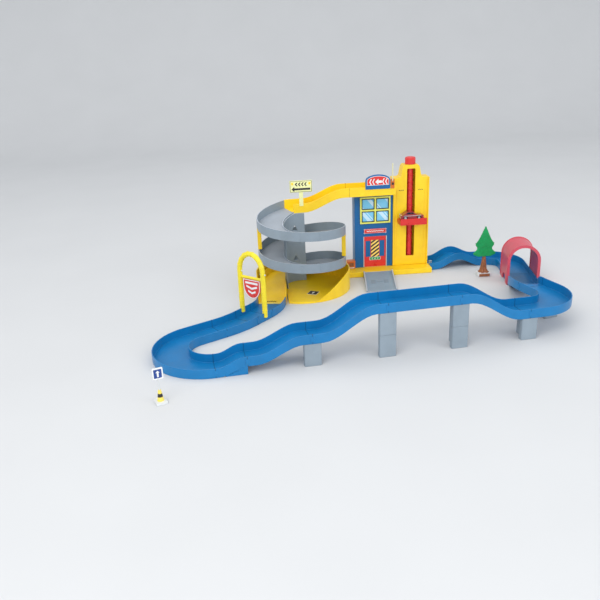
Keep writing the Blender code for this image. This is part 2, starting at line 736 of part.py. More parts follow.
def core():
    """The curved core wall, whose top follows the ramp, with a see-through window per turn."""
    radius = SPIRAL_INNER * math.cos(math.radians(SPIRAL_STEP / 2)) - GAP
    bm = bmesh.new()
    rows = []
    steps = 13
    for i in range(steps + 1):
        angle = CORE_START + (CORE_END - CORE_START) * i / steps
        x, y = spiral_point(angle, radius)
        top = spiral_height(max(angle, SPIRAL_START)) - GAP
        rows.append([bm.verts.new((x, y, z)) for z in (ROUND_FLOOR + GAP, top)])
    for row, following in zip(rows, rows[1:]):
        bm.faces.new((row[0], following[0], following[1], row[1]))
    item = add_mesh("spiral_core", bm, GREY)
    modifier = item.modifiers.new("core_wall", 'SOLIDIFY')
    modifier.thickness = WALL
    modifier.offset = -1.0
    modifier.use_even_offset = True
    for turns in (0, 360):
        middle = (spiral_height(SPIRAL_START + turns) + spiral_height(SPIRAL_START + turns + 360)) / 2
        window = cylinder("core_window", CORE_WINDOW, (0, -0.01, 0), (0, 0.01, 0), GREY, 3)
        place = Matrix.Translation((*spiral_point(SPIRAL_START, radius), middle)) @ Matrix.Rotation(
            math.radians(SPIRAL_START - 90), 4, 'Z')
        window.data.transform(place)
        cut(item, window)


def round_base():
    """The round yellow base with its parking floor and the wall that rises behind it."""
    floor = slab("round_base", arc(SPIRAL_X, SPIRAL_Y, ROUND_RADIUS, 0, 352.5, 47), ROUND_FLOOR,
                 YELLOW)
    bm = bmesh.new()
    rows = []
    steps = 26
    low = ROUND_FLOOR / 3
    for i in range(steps + 1):
        angle = ROUND_WALL_START + (ROUND_WALL_END - ROUND_WALL_START) * i / steps
        rise_share = min((angle - ROUND_WALL_START) / 56.0, 1.0)
        top = ROUND_FLOOR + (ROUND_WALL_TOP - ROUND_FLOOR) * math.sin(rise_share * math.pi / 2)
        x, y = spiral_point(angle, ROUND_RADIUS)
        rows.append([bm.verts.new((x, y, z)) for z in (low, max(top, ROUND_FLOOR + low))])
    for row, following in zip(rows, rows[1:]):
        bm.faces.new((row[0], following[0], following[1], row[1]))
    wall = add_mesh("round_wall", bm, YELLOW)
    modifier = wall.modifiers.new("thickness", 'SOLIDIFY')
    modifier.thickness = ROUND_WALL
    modifier.offset = -1.0
    modifier.use_even_offset = True
    join(floor, wall)
    reach = ROUND_RADIUS * 1.2
    notch = box("road_notch", (SPIRAL_X - reach, SPIRAL_Y - reach, -ROUND_FLOOR),
                (SPIRAL_X - SPIRAL_INNER + GAP, SPIRAL_Y, ROUND_WALL_TOP * 2), YELLOW)
    cut(floor, notch)


def road_start():
    """Return the pose where the exit road leaves the spiral's circle."""
    return Pose(SPIRAL_X - LANE_MIDDLE, SPIRAL_Y, 270)


def road_end():
    return road_start().ahead(ROAD_LENGTH, ROAD_TURN)


def exit_road():
    """The yellow road that carries cars from the spiral's foot to the blue track."""
    leave = LEFT_POST_ANGLE + 720
    begin = SPIRAL_START + 720 + 0.15
    stations = spiral_stations(begin, leave, TRACK_WALL_HEIGHT, TRACK_WALL_HEIGHT)
    top = spiral_height(leave)

    def height(share):
        return top * (1 - ease(share, 0.0))

    run = lane_stations(road_start(), ROAD_LENGTH, ROAD_TURN, 8, LANE_WIDTH, height,
                        TRACK_WALL_HEIGHT, ROAD_END_WIDTH)
    channel("exit_road", stations + run[1:], YELLOW)


def pillars(name, pose, count):
    """Stack blocks, each a broad face with a rib behind it, flush with the track's front."""
    offset = BLOCK_DEPTH / 2 - TRACK_WIDTH / 2
    place = Matrix.Translation((pose.x, pose.y, 0)) @ Matrix.Rotation(
        math.radians(pose.heading), 4, 'Z') @ Matrix.Translation((0, offset, 0))
    half = BLOCK_WIDTH / 2
    front = -BLOCK_DEPTH / 2
    back = front + BLOCK_FACE
    rib = BLOCK_RIB / 2
    for i in range(count):
        low = i * BLOCK_HEIGHT
        high = low + BLOCK_HEIGHT - GAP
        label = name if count == 1 else name + ("_lower", "_upper")[i]
        outline = arc(BLOCK_WALL - half, front + BLOCK_WALL, BLOCK_WALL, 180, 270, 2)
        outline += arc(half - BLOCK_WALL, front + BLOCK_WALL, BLOCK_WALL, 270, 360, 2)
        outline += [(half, back), (rib, back), (rib, BLOCK_DEPTH / 2), (-rib, BLOCK_DEPTH / 2),
                    (-rib, back), (-half, back)]
        block = slab(label, outline, high - low, GREY, Matrix.Translation((0, 0, low)))
        hollow = box("block_hollow", (BLOCK_WALL - half, front + BLOCK_WALL, low - BLOCK_WALL),
                     (half - BLOCK_WALL, back - BLOCK_WALL, high - BLOCK_WALL), GREY)
        hollow.data.transform(place)
        block.data.transform(place)
        cut(block, hollow)


def rise(low, high, flat=2 / RISE_STEPS):
    return lambda share: low + (high - low) * ease(share, flat)


def track_piece(name, start, length, turn, steps, height):
    """Build one blue track piece and return the pose at its far end."""
    stations = lane_stations(start, length, turn, steps, TRACK_WIDTH, height, TRACK_WALL_HEIGHT)
    channel(name, stations, TRACK_BLUE)
    return start.ahead(length, turn)


def front_track():
    """The track from the exit road round the left loop and along the pillars."""
    pose = track_piece("track_adapter", road_end(), ADAPTER_LENGTH, ADAPTER_TURN, 5, level(0))
    gate_poses.append(pose.ahead(GATE_TRACK_LENGTH / 2))
    pose = track_piece("track_gate", pose, GATE_TRACK_LENGTH, 0, 1, level(0))
    pose = track_piece("track_bend", pose, BEND_LENGTH, BEND_TURN, 6, level(0))
    pose = track_loop(pose)
    pose = track_foot(pose)
    high = 2 * BLOCK_HEIGHT
    pose = track_piece("track_rise_low", pose, FOOT_RUN, 0, RISE_STEPS, rise(FOOT_RISE, BLOCK_HEIGHT))
    pillars("pillar_first", pose, 1)
    pose = track_piece("track_rise_high", pose, BLOCK_SPACING, 0, RISE_STEPS, rise(BLOCK_HEIGHT, high))
    pillars("pillar_second", pose, 2)
    pose = track_piece("track_level", pose, BLOCK_SPACING, 0, 1, level(high))
    pillars("pillar_third", pose, 2)
    pose = track_piece("track_drop", pose, BLOCK_SPACING, 0, RISE_STEPS, rise(high, BLOCK_HEIGHT))
    pillars("pillar_fourth", pose, 1)
    return track_turn(pose)


def track_loop(pose):
    """The big bend at the left: a short straight, then an arc up to the run's heading."""
    turn = (RUN_HEADING - pose.heading) % 360
    lead = lane_stations(pose, LEAD_LENGTH, 0, 1, TRACK_WIDTH, level(0), TRACK_WALL_HEIGHT)
    bend_start = pose.ahead(LEAD_LENGTH)
    length = LOOP_RADIUS * math.radians(turn)
    bend = lane_stations(bend_start, length, turn, 22, TRACK_WIDTH, level(0), TRACK_WALL_HEIGHT,
                         bulge=LOOP_BULGE)
    channel("track_loop", lead[:1] + bend, TRACK_BLUE)
    return bend_start.ahead(length, turn)


def track_foot(pose):
    """The piece that starts the climb, with skirts down to the floor."""
    end = pose.ahead(FOOT_STRAIGHT)
    item = channel("track_foot", lane_stations(pose, FOOT_STRAIGHT, 0, 10, TRACK_WIDTH,
                                               rise(0, FOOT_RISE, 0.1), TRACK_WALL_HEIGHT), TRACK_BLUE)
    near = pose.ahead(FOOT_STRAIGHT * 0.3)
    far = pose.ahead(FOOT_STRAIGHT - GAP * 2)
    for side in (1, -1):
        outer = side * (TRACK_WIDTH / 2 - GAP)
        inner = side * (TRACK_WIDTH / 2 - WALL + GAP)
        plan = [near.side(outer), far.side(outer), far.side(inner), near.side(inner)]
        join(item, slab("foot_skirt", plan, FOOT_RISE + WALL, TRACK_BLUE))
    return end


def track_turn(pose):
    """The bend at the right, held up by the last pillar."""
    turn = (TURN_HEADING - pose.heading) % 360
    bend_start = pose.ahead(TURN_STRAIGHT)
    length = TURN_RADIUS * math.radians(turn)
    bend_end = bend_start.ahead(length, turn)
    first = lane_stations(pose, TURN_STRAIGHT, 0, 1, TRACK_WIDTH, level(BLOCK_HEIGHT),
                          TRACK_WALL_HEIGHT)
    bend = lane_stations(bend_start, length, turn, 12, TRACK_WIDTH, level(BLOCK_HEIGHT),
                         TRACK_WALL_HEIGHT)
    last = lane_stations(bend_end, TURN_TAIL, 0, 1, TRACK_WIDTH, level(BLOCK_HEIGHT),
                         TRACK_WALL_HEIGHT)
    channel("track_turn", first[:1] + bend + last[-1:], TRACK_BLUE)
    middle = Pose(bend_end.x, bend_end.y, bend_end.heading - 90)
    under = middle.side(TRACK_WIDTH / 2 - BLOCK_DEPTH / 2)
    pillars("pillar_fifth", Pose(*under, middle.heading), 1)
    return bend_end.ahead(TURN_TAIL)


def tail_poses():
    """Return the poses of the track's last pieces, found backwards from the lift's base."""
    finish = Pose(BASE_RIGHT + GAP / 2, TAIL_Y, 180)
    bend = finish.ahead(-TAIL_BEND, TAIL_TURN)
    hump = bend.ahead(TAIL_BEND - HUMP_LENGTH - 2 * HUMP_FLAT)
    turn = hump.heading - TAIL_HEADING
    corner = hump.ahead(-TAIL_RADIUS * math.radians(turn), -turn)
    tunnel_exit = corner.ahead(-TAIL_STRAIGHT)
    return tunnel_exit, corner, hump, bend


def between(start, end, steps):
    """Return poses along a smooth curve from one pose to another."""
    reach = math.hypot(end.x - start.x, end.y - start.y)
    a = Vector((start.x, start.y))
    b = Vector((end.x, end.y))
    out = Vector((math.cos(math.radians(start.heading)), math.sin(math.radians(start.heading)))) * reach
    into = Vector((math.cos(math.radians(end.heading)), math.sin(math.radians(end.heading)))) * reach
    poses = []
    for i in range(steps + 1):
        t = i / steps
        point = (a * (2 * t ** 3 - 3 * t ** 2 + 1) + out * (t ** 3 - 2 * t ** 2 + t)
                 + b * (3 * t ** 2 - 2 * t ** 3) + into * (t ** 3 - t ** 2))
        way = (a * (6 * t ** 2 - 6 * t) + out * (3 * t ** 2 - 4 * t + 1)
               + b * (6 * t - 6 * t ** 2) + into * (3 * t ** 2 - 2 * t))
        poses.append(Pose(point.x, point.y, math.degrees(math.atan2(way.y, way.x))))
    return poses


def back_track(start):
    """The track from the right bend down through the tunnel and over the hump to the lift."""
    tunnel_exit, corner, hump, bend_start = tail_poses()
    begin = start.ahead(GAP / 2)
    steps = 14
    stations = []
    poses = between(begin, tunnel_exit.ahead(-TUNNEL_LENGTH), steps)
    poses.append(tunnel_exit.ahead(-GAP / 2))
    half = TRACK_WIDTH / 2
    for i, pose in enumerate(poses):
        z = BLOCK_HEIGHT * (1 - ease(min(i / steps, 1.0) * 0.94, 0.08))
        if i == len(poses) - 1:
            z = 0.0
        stations.append((pose.side(half), pose.side(-half), z, TRACK_WALL_HEIGHT, TRACK_WALL_HEIGHT))
    channel("track_tunnel_ramp", stations, TRACK_BLUE)
    turn = hump.heading - corner.heading
    straight = lane_stations(tunnel_exit, TAIL_STRAIGHT, 0, 1, TRACK_WIDTH, level(0),
                             TRACK_WALL_HEIGHT)
    bend = lane_stations(corner, TAIL_RADIUS * math.radians(turn), turn, 10, TRACK_WIDTH, level(0),
                         TRACK_WALL_HEIGHT)
    channel("track_corner", straight[:1] + bend, TRACK_BLUE)

    run = HUMP_LENGTH + 2 * HUMP_FLAT
    straight_share = 1 - TAIL_BEND / run

    def hump_height(share):
        along = (share * run - HUMP_FLAT) / HUMP_LENGTH
        return HUMP_HEIGHT * (1 - math.cos(2 * math.pi * min(max(along, 0.0), 1.0))) / 2

    straight = lane_stations(hump, run - TAIL_BEND, 0, 14, TRACK_WIDTH,
                             lambda share: hump_height(share * straight_share), TRACK_WALL_HEIGHT)
    bend = lane_stations(bend_start, TAIL_BEND, -TAIL_TURN, 5, TRACK_WIDTH,
                         lambda share: hump_height(straight_share + share * (1 - straight_share)),
                         TRACK_WALL_HEIGHT)
    channel("track_hump", straight[:-1] + bend, TRACK_BLUE)
    tunnel(tunnel_exit)


def tunnel(exit_pose):
    """The red tunnel that stands astride the track, with a notch in the foot of each side."""
    def arch(inset, foot):
        half = TUNNEL_WIDTH / 2 - inset
        spring = TUNNEL_HEIGHT - TUNNEL_WIDTH / 2
        return [(-half, foot)] + arc(0, spring, half, 180, 0, 20) + [(half, foot)]

    place = Matrix.Translation((exit_pose.x, exit_pose.y, 0)) @ Matrix.Rotation(
        math.radians(exit_pose.heading - 90), 4, 'Z') @ upright(-TUNNEL_LENGTH)
    item = slab("tunnel", arch(0, 0), TUNNEL_LENGTH, PINK_RED, place)
    wall = (TUNNEL_WIDTH - TRACK_WIDTH) / 2 - GAP
    inside = slab("tunnel_inside", arch(wall, -wall), TUNNEL_LENGTH * 1.2, PINK_RED,
                  place @ Matrix.Translation((0, 0, -TUNNEL_LENGTH * 0.1)))
    cut(item, inside)
    notch = slab("tunnel_notch", [(-TUNNEL_NOTCH, -0.01), (-TUNNEL_NOTCH, TUNNEL_NOTCH * 0.5),
                                  (-TUNNEL_NOTCH * 0.6, TUNNEL_NOTCH),
                                  (TUNNEL_NOTCH * 0.6, TUNNEL_NOTCH),
                                  (TUNNEL_NOTCH, TUNNEL_NOTCH * 0.5), (TUNNEL_NOTCH, -0.01)],
                 TUNNEL_WIDTH * 1.2, PINK_RED,
                 place @ Matrix.Translation((0, 0, TUNNEL_LENGTH / 2)) @ Matrix.Rotation(
                     math.radians(90), 4, 'Y') @ Matrix.Translation((0, 0, -TUNNEL_WIDTH * 0.6)))
    cut(item, notch)


def gate():
    """The yellow arch that clips on the track's walls, with a red sign under its bar."""
    pose = gate_poses[0]
    across = TRACK_WIDTH / 2 - WALL / 2
    place = Matrix.Translation((pose.x, pose.y, 0)) @ Matrix.Rotation(
        math.radians(pose.heading - 90), 4, 'Z')
    path = [(-across, GATE_FOOT)]
    spring = GATE_TOP - GATE_TUBE - GATE_RISE
    path += [(x * across, spring + z * GATE_RISE) for x, z in arc(0, 0, 1, 180, 0, 16)]
    path.append((across, GATE_FOOT))
    curve = bpy.data.curves.new("gate_path", 'CURVE')
    curve.dimensions = '3D'
    curve.bevel_depth = GATE_TUBE
    curve.bevel_resolution = 2
    curve.use_fill_caps = True
    spline = curve.splines.new('POLY')
    spline.points.add(len(path) - 1)
    for point, (x, z) in zip(spline.points, path):
        point.co = (x, 0, z, 1)
    holder = bpy.data.objects.new("gate_holder", curve)
    PARTS.objects.link(holder)
    depsgraph = bpy.context.evaluated_depsgraph_get()
    bm = bmesh.new()
    bm.from_mesh(holder.evaluated_get(depsgraph).to_mesh())
    bpy.data.objects.remove(holder, do_unlink=True)
    bmesh.ops.remove_doubles(bm, verts=bm.verts, dist=0.00001)
    bmesh.ops.recalc_face_normals(bm, faces=bm.faces)
    arch = add_mesh("gate_arch", bm, YELLOW)
    arch.data.transform(place)
    bar = cylinder("gate_bar", GATE_BAR, (-across, 0, GATE_BAR_HEIGHT),
                   (across, 0, GATE_BAR_HEIGHT), YELLOW, 12)
    bar.data.transform(place)
    join(arch, bar)
    for side in (-1, 1):
        low = side * across - WALL / 2 - GAP
        slot = box("leg_slot", (low, -GATE_TUBE * 2, -GATE_FOOT),
                   (low + WALL + 2 * GAP, GATE_TUBE * 2, TRACK_WALL_HEIGHT + GAP), YELLOW)
        slot.data.transform(place)
        cut(arch, slot)
    top = GATE_BAR_HEIGHT - GATE_BAR - GAP
    half = GATE_SIGN_WIDTH / 2
    shoulder = top - GATE_SIGN_HEIGHT * GATE_SIGN_STRAIGHT
    drop = GATE_SIGN_HEIGHT * (1 - GATE_SIGN_STRAIGHT)
    shield = [(half, top), (-half, top)]
    shield += [(x * half, shoulder + z * drop) for x, z in arc(0, 0, 1, 180, 360, 16)]
    sign = slab("gate_sign", shield, TREE_THICK, RED, place @ upright(-TREE_THICK / 2))
    bevel(sign, 0.0006, 1)


def clip_on(item, x, y, top, width, slack=GAP):
    """Cut a slot in the foot of a piece so that it sits astride a wall that runs along X."""
    slot = box("clip_slot", (x - width, y - WALL / 2 - slack, top - CLIP_DROP * 3),
               (x + width, y + WALL / 2 + slack, top + GAP), YELLOW)
    cut(item, slot)


def roof_signs():
    """The arched sign, the arrow sign and the barrier, each clipped on a wall."""
    wall_y = -DECK_WIDTH / 2 + WALL / 2
    deck_top = DECK_UNDERSIDE + DECK_WALL_HEIGHT
    half = ROOF_SIGN_WIDTH / 2
    low = deck_top - CLIP_DROP
    high = deck_top + ROOF_SIGN_HEIGHT
    side = deck_top + ROOF_SIGN_HEIGHT * 0.55
    outline = [(SHOP_CENTRE - half, low), (SHOP_CENTRE + half, low), (SHOP_CENTRE + half, side)]
    for i in range(1, 8):
        angle = math.pi * i / 8
        outline.append((SHOP_CENTRE + half * math.cos(angle), side + (high - side) * math.sin(angle)))
    outline.append((SHOP_CENTRE - half, side))
    thick = WALL + 2 * ROOF_SIGN_THICK * 0.5
    sign = slab("roof_sign", outline, thick, BLUE, upright(wall_y - thick / 2))
    clip_on(sign, SHOP_CENTRE, wall_y, deck_top, half * 1.2)
    post_x = SPIRAL_X + 0.008
    narrowing = (DECK_WIDTH - LANE_WIDTH) / 2 * (post_x - SPIRAL_X) / (DECK_LEFT - SPIRAL_X)
    post_y = SPIRAL_Y + SPIRAL_INNER - narrowing + WALL / 2
    chute_top = SPIRAL_TOP + DECK_WALL_HEIGHT
    plate_low = chute_top + ARROW_SIGN_POST
    plate = box("arrow_sign", (post_x - ARROW_SIGN_WIDTH / 2, post_y - 0.004, plate_low),
                (post_x + ARROW_SIGN_WIDTH / 2, post_y, plate_low + ARROW_SIGN_HEIGHT), YELLOW)
    post = box("arrow_post", (post_x - 0.006, post_y - 0.003, chute_top - CLIP_DROP),
               (post_x + 0.006, post_y + 0.003, plate_low + 0.004), YELLOW)
    join(plate, post)
    clip_on(plate, post_x, post_y, chute_top, 0.02, 2 * GAP)
    barrier(wall_y, deck_top)


def barrier(wall_y, deck_top):
    """The orange barrier post and its pale arm, which swings down across the deck."""
    x = FACADE_RIGHT - BARRIER_BASE_WIDTH
    half = BARRIER_BASE_WIDTH / 2
    depth = BARRIER_BASE_DEPTH / 2
    top = deck_top + BARRIER_BASE_HEIGHT
    base = box("barrier_post", (x - half, wall_y - depth, deck_top - CLIP_DROP),
               (x + half, wall_y + depth, top), ORANGE)
    clip_on(base, x, wall_y, deck_top, half * 1.5)
    fork = BARRIER_WIDTH / 2 + GAP
    pivot_z = top - 0.004
    groove = box("barrier_groove", (x - fork, wall_y - depth * 2, pivot_z - 0.0045),
                 (x + fork, wall_y + depth * 2, top + 0.01), ORANGE)
    cut(base, groove)
    pin_radius = 0.0012
    hole = cylinder("barrier_hole", pin_radius + GAP, (x - half - 0.01, wall_y, pivot_z),
                    (x + half + 0.01, wall_y, pivot_z), ORANGE, 12)
    cut(base, hole)
    arm = box("barrier_arm", (x - BARRIER_WIDTH / 2, wall_y - 0.002, pivot_z),
              (x + BARRIER_WIDTH / 2, wall_y + 0.002, pivot_z + BARRIER_LENGTH), PALE)
    hub = cylinder("barrier_hub", 0.0036, (x - BARRIER_WIDTH / 2, wall_y, pivot_z),
                   (x + BARRIER_WIDTH / 2, wall_y, pivot_z), PALE, 16)
    join(arm, hub)
    pin = cylinder("barrier_pin", pin_radius, (x - half + 0.0005, wall_y, pivot_z),
                   (x + half - 0.0005, wall_y, pivot_z), PALE, 12)
    join(arm, pin)
    move_origin(arm, (x, wall_y, pivot_z))


def tree():
    """The flat green tree in its brown stand."""
    half = TREE_SPREAD / 2
    height = TREE_TOP - TREE_SKIRT
    tiers = ((0.18, 0.012), (0.52, 0.0), (0.72, 0.035), (0.90, 0.06), (1.0, 0.115), (0.84, 0.165),
             (0.66, 0.24), (0.64, 0.30), (0.80, 0.385), (0.78, 0.44), (0.58, 0.55), (0.46, 0.63),
             (0.30, 0.76), (0.19, 0.86), (0.10, 0.93), (0.03, 1.0))
    tongue = TREE_SKIRT - TREE_TONGUE
    outline = [(TREE_TONGUE_HALF, tongue), (TREE_TONGUE_HALF, TREE_SKIRT + height * 0.012)]
    outline += [(half * w, TREE_SKIRT + height * h) for w, h in tiers]
    outline += [(-x, z) for x, z in reversed(outline)]
    plate = slab("tree_foliage", outline, TREE_THICK, GREEN, upright(-TREE_THICK / 2))
    plate.data.transform(Matrix.Translation((TREE_X, TREE_Y, 0)))
    stand = box("tree_stand", (-TREE_BASE_WIDTH / 2, -TREE_BASE_DEPTH / 2, 0),
                (TREE_BASE_WIDTH / 2, TREE_BASE_DEPTH / 2, TREE_BASE_HEIGHT), BROWN)
    trunk_foot = TREE_BASE_HEIGHT - 0.002
    trunk_top = TREE_SKIRT - GAP
    trunk = cylinder("tree_trunk", TREE_TRUNK_FOOT, (0, 0, trunk_foot), (0, 0, trunk_top), BROWN, 12,
                     TREE_TRUNK_TOP)
    join(stand, trunk)
    slot_half = TREE_TONGUE_HALF + GAP
    slot = box("tongue_slot", (-slot_half, -TREE_THICK / 2 - GAP, tongue - GAP),
               (slot_half, TREE_THICK / 2 + GAP, TREE_TOP), BROWN)
    join_place = Matrix.Translation((TREE_X, TREE_Y, 0))
    stand.data.transform(join_place)
    trunk.data.transform(join_place)
    slot.data.transform(join_place)
    cut(stand, slot)


def street_sign():
    """The loose street sign: a plate on a pole, stuck in a cone on a square foot."""
    place = Matrix.Translation((STREET_X, STREET_Y, 0)) @ Matrix.Rotation(
        math.radians(STREET_TURN), 4, 'Z')
    foot = rounded_rectangle(-STREET_BASE_WIDTH / 2, -STREET_BASE_DEPTH / 2, STREET_BASE_WIDTH / 2,
                             STREET_BASE_DEPTH / 2, 0.002, 2)
    base = slab("street_sign_base", foot, STREET_BASE_HEIGHT, PALE)
    cone = cylinder("street_sign_cone", STREET_CONE_FOOT, (0, 0, STREET_BASE_HEIGHT - 0.001),
                    (0, 0, STREET_CONE_TOP), PALE, 24, STREET_CONE_TIP)
    join(base, cone)
    socket_depth = STREET_CONE_TOP - 0.012
    socket = cylinder("street_sign_socket", STREET_POLE + GAP, (0, 0, socket_depth),
                      (0, 0, STREET_TOP), PALE, 16)
    cut(base, socket)
    low = STREET_TOP - STREET_PLATE_HEIGHT
    half = STREET_PLATE_WIDTH / 2
    outline = rounded_rectangle(-half, low, half, STREET_TOP, 0.002, 2)
    plate = slab("street_sign_plate", outline, STREET_POLE * 1.4, BLUE,
                 upright(-STREET_POLE * 0.7))
    pole = cylinder("street_sign_pole", STREET_POLE, (0, 0, socket_depth + GAP),
                    (0, 0, low + 0.006), PALE, 16)
    join(plate, pole)
    for item in (base, cone, socket, plate, pole):
        item.data.transform(place)


def car():
    """The car on the lift: a shell over a chassis, on two axles."""
    middle_y = (PLATFORM_FRONT + WALL) / 2
    place = Matrix.Translation((CAR_X, middle_y, PLATFORM_FLOOR + GAP))
    half = CAR_LENGTH / 2
    low = CAR_CLEARANCE
    belt = CAR_HEIGHT * 0.58
    side = [(-half, low), (half, low), (half, belt * 0.8), (half * 0.93, belt * 0.95),
            (half * 0.4, belt * 1.04), (half * 0.05, CAR_HEIGHT), (-half * 0.45, CAR_HEIGHT),
            (-half * 0.8, belt * 1.08), (-half * 0.98, belt)]
    body = slab("car_body", side, CAR_WIDTH, CAR_RED, upright(-CAR_WIDTH / 2))
    inner_reach = CAR_WIDTH / 2 - WHEEL_WIDTH - RUN_CLEARANCE * 2
    chassis_top = WHEEL_RADIUS + AXLE_RADIUS * 2.5
    chassis_half = half * 0.9
    chassis = box("car_chassis", (-chassis_half, -inner_reach, low - 0.001),
                  (chassis_half, inner_reach, chassis_top), BLACK)
    pocket = box("chassis_pocket", (-chassis_half - GAP, -inner_reach - GAP, -low),
                 (chassis_half + GAP, inner_reach + GAP, chassis_top + GAP), CAR_RED)
    pocket.data.transform(place)
    cut(body, pocket)
    for x in (-WHEELBASE / 2, WHEELBASE / 2):
        for end in (-1, 1):
            wheel_arch = cylinder("wheel_arch", WHEEL_RADIUS + RUN_CLEARANCE,
                                  (x, end * CAR_WIDTH, WHEEL_RADIUS),
                                  (x, end * inner_reach, WHEEL_RADIUS), BLACK, 20)
            wheel_arch.data.transform(place)
            cut(body, wheel_arch)
        hole = cylinder("axle_hole", AXLE_RADIUS + GAP, (x, -CAR_WIDTH, WHEEL_RADIUS),
                        (x, CAR_WIDTH, WHEEL_RADIUS), BLACK, 12)
        hole.data.transform(place)
        cut(chassis, hole)
    for name, x in (("car_front_axle", -WHEELBASE / 2), ("car_rear_axle", WHEELBASE / 2)):
        reach = CAR_WIDTH / 2 - RUN_CLEARANCE
        axle = cylinder(name, AXLE_RADIUS, (x, -reach, WHEEL_RADIUS), (x, reach, WHEEL_RADIUS),
                        BLACK, 12)
        axle.data.transform(place)
        for end in (-1, 1):
            outer = end * reach
            wheel = cylinder("wheel", WHEEL_RADIUS, (x, outer, WHEEL_RADIUS),
                             (x, outer - end * WHEEL_WIDTH, WHEEL_RADIUS), BLACK, 20)
            wheel.data.transform(place)
            join(axle, wheel)
        move_origin(axle, place @ Vector((x, 0, WHEEL_RADIUS)))
    body.data.transform(place)
    chassis.data.transform(place)


gate_poses = []


def build():
    building_base()
    tower()
    lift()
    shop_front()
    door()
    exit_ramp()
    roof_deck()
    roof_chute()
    roof_signs()
    spiral()
    core()
    round_base()
    exit_road()
    back_track(front_track())
    gate()
    tree()
    street_sign()
    car()


build()
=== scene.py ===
"""Looks of the toy parking garage: soft moulded edges, printed plates, plastics, light and camera.

Everything is in metres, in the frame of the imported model: +X to the right, +Y back, +Z up.
"""

import json
import math

import bmesh
import bpy
from mathutils import Matrix, Vector
from mathutils.bvhtree import BVHTree
from mathutils.kdtree import KDTree

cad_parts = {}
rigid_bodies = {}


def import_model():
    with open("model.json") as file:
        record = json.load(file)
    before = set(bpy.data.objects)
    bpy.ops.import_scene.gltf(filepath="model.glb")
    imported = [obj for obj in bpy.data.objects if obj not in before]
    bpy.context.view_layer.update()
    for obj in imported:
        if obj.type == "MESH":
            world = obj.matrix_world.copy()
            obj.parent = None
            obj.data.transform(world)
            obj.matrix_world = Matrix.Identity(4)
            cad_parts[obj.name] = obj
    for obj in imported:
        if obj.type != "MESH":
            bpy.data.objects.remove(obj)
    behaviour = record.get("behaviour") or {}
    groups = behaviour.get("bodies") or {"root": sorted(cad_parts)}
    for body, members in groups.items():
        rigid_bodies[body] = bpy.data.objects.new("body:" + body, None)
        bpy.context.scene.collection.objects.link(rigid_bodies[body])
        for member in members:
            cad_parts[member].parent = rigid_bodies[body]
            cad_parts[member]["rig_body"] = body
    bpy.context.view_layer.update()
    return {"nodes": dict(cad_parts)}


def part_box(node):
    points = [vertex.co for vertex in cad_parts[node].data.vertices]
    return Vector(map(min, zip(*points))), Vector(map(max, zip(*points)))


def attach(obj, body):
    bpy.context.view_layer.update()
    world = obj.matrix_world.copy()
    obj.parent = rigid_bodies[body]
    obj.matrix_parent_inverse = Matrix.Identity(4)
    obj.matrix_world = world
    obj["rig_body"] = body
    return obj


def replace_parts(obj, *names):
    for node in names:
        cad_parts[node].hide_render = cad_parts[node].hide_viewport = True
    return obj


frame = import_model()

bl_info = {
    "name": "Toy parking garage",
    "version": (1, 0, 0),
    "blender": (4, 5, 0),
    "location": "View3D > Sidebar > Garage",
    "description": "Dresses the packed toy parking garage with moulded plastic and printed plates",
    "category": "Object",
}

MERGE = 0.00001
TOUCH = 0.001
LANE_WALL = 0.0024
# Dark lines at the seams of the lanes, painted shadow in the joints: half their width and how far
# they stand proud.
SEAM_SHADOW_HALF = 0.00065
SEAM_SHADOW_PROUD = 0.00022
ARROW_SIGN_THICK = 0.004
GATE_SIGN_THICK = 0.004
PLATFORM_FLOOR = 0.177
LEVEL = 0.7
UPRIGHT = 0.35
FOLD = 0.6
NARROW_RIM = 0.0018
THIN_OUTLINE = 0.12
SMALL_UNDERSIDE = 0.00012
SMALL_WALL = 0.00006
BAY_MARK = (-0.3381, -0.1821, -28.0)
GATE_TUBE = 0.0072
GATE_RING = 0.0007
GATE_HALF = 0.0408
GATE_RISE = 0.052
GATE_BAR_HEIGHT = 0.119
TREE_STAND_TOP = 0.014
STREET_TURN = 20.0
STREET_PLATE = (0.0235, 0.0265)
STREET_PLATE_THICK = 0.00266
STREET_FOOT_TOP = 0.0055
# Half sections of the car's wheels: share of the wheel's radius, depth from its outer side.
TYRE = ((0.60, 0.0), (0.92, 0.0), (1.0, 0.0009), (1.0, 0.00198), (0.965, 0.00225), (1.0, 0.00252),
        (1.0, 0.0036), (0.92, 0.0045), (0.60, 0.0045), (0.60, 0.0))
HUB = ((0.0, 0.0008), (0.16, 0.0006), (0.22, 0.0014), (0.50, 0.0018), (0.54, 0.0004),
       (0.62, 0.0004), (0.62, 0.00405), (0.0, 0.00405))
TRACKS = ("track_adapter", "track_gate", "track_bend", "track_loop", "track_foot", "track_rise_low",
          "track_rise_high", "track_level", "track_drop", "track_turn", "track_tunnel_ramp",
          "track_corner", "track_hump")
PILLARS = ("pillar_first", "pillar_second_lower", "pillar_second_upper", "pillar_third_lower",
           "pillar_third_upper", "pillar_fourth", "pillar_fifth")


def length(name, description, default):
    """Return a size that a user may change."""
    return bpy.props.FloatProperty(name=name, description=description, default=default, min=0.0,
                                   unit='LENGTH', precision=5)


def colour(name, description, default):
    """Return a colour that a user may change."""
    return bpy.props.FloatVectorProperty(name=name, description=description, default=default,
                                         size=3, min=0.0, max=1.0, subtype='COLOR')


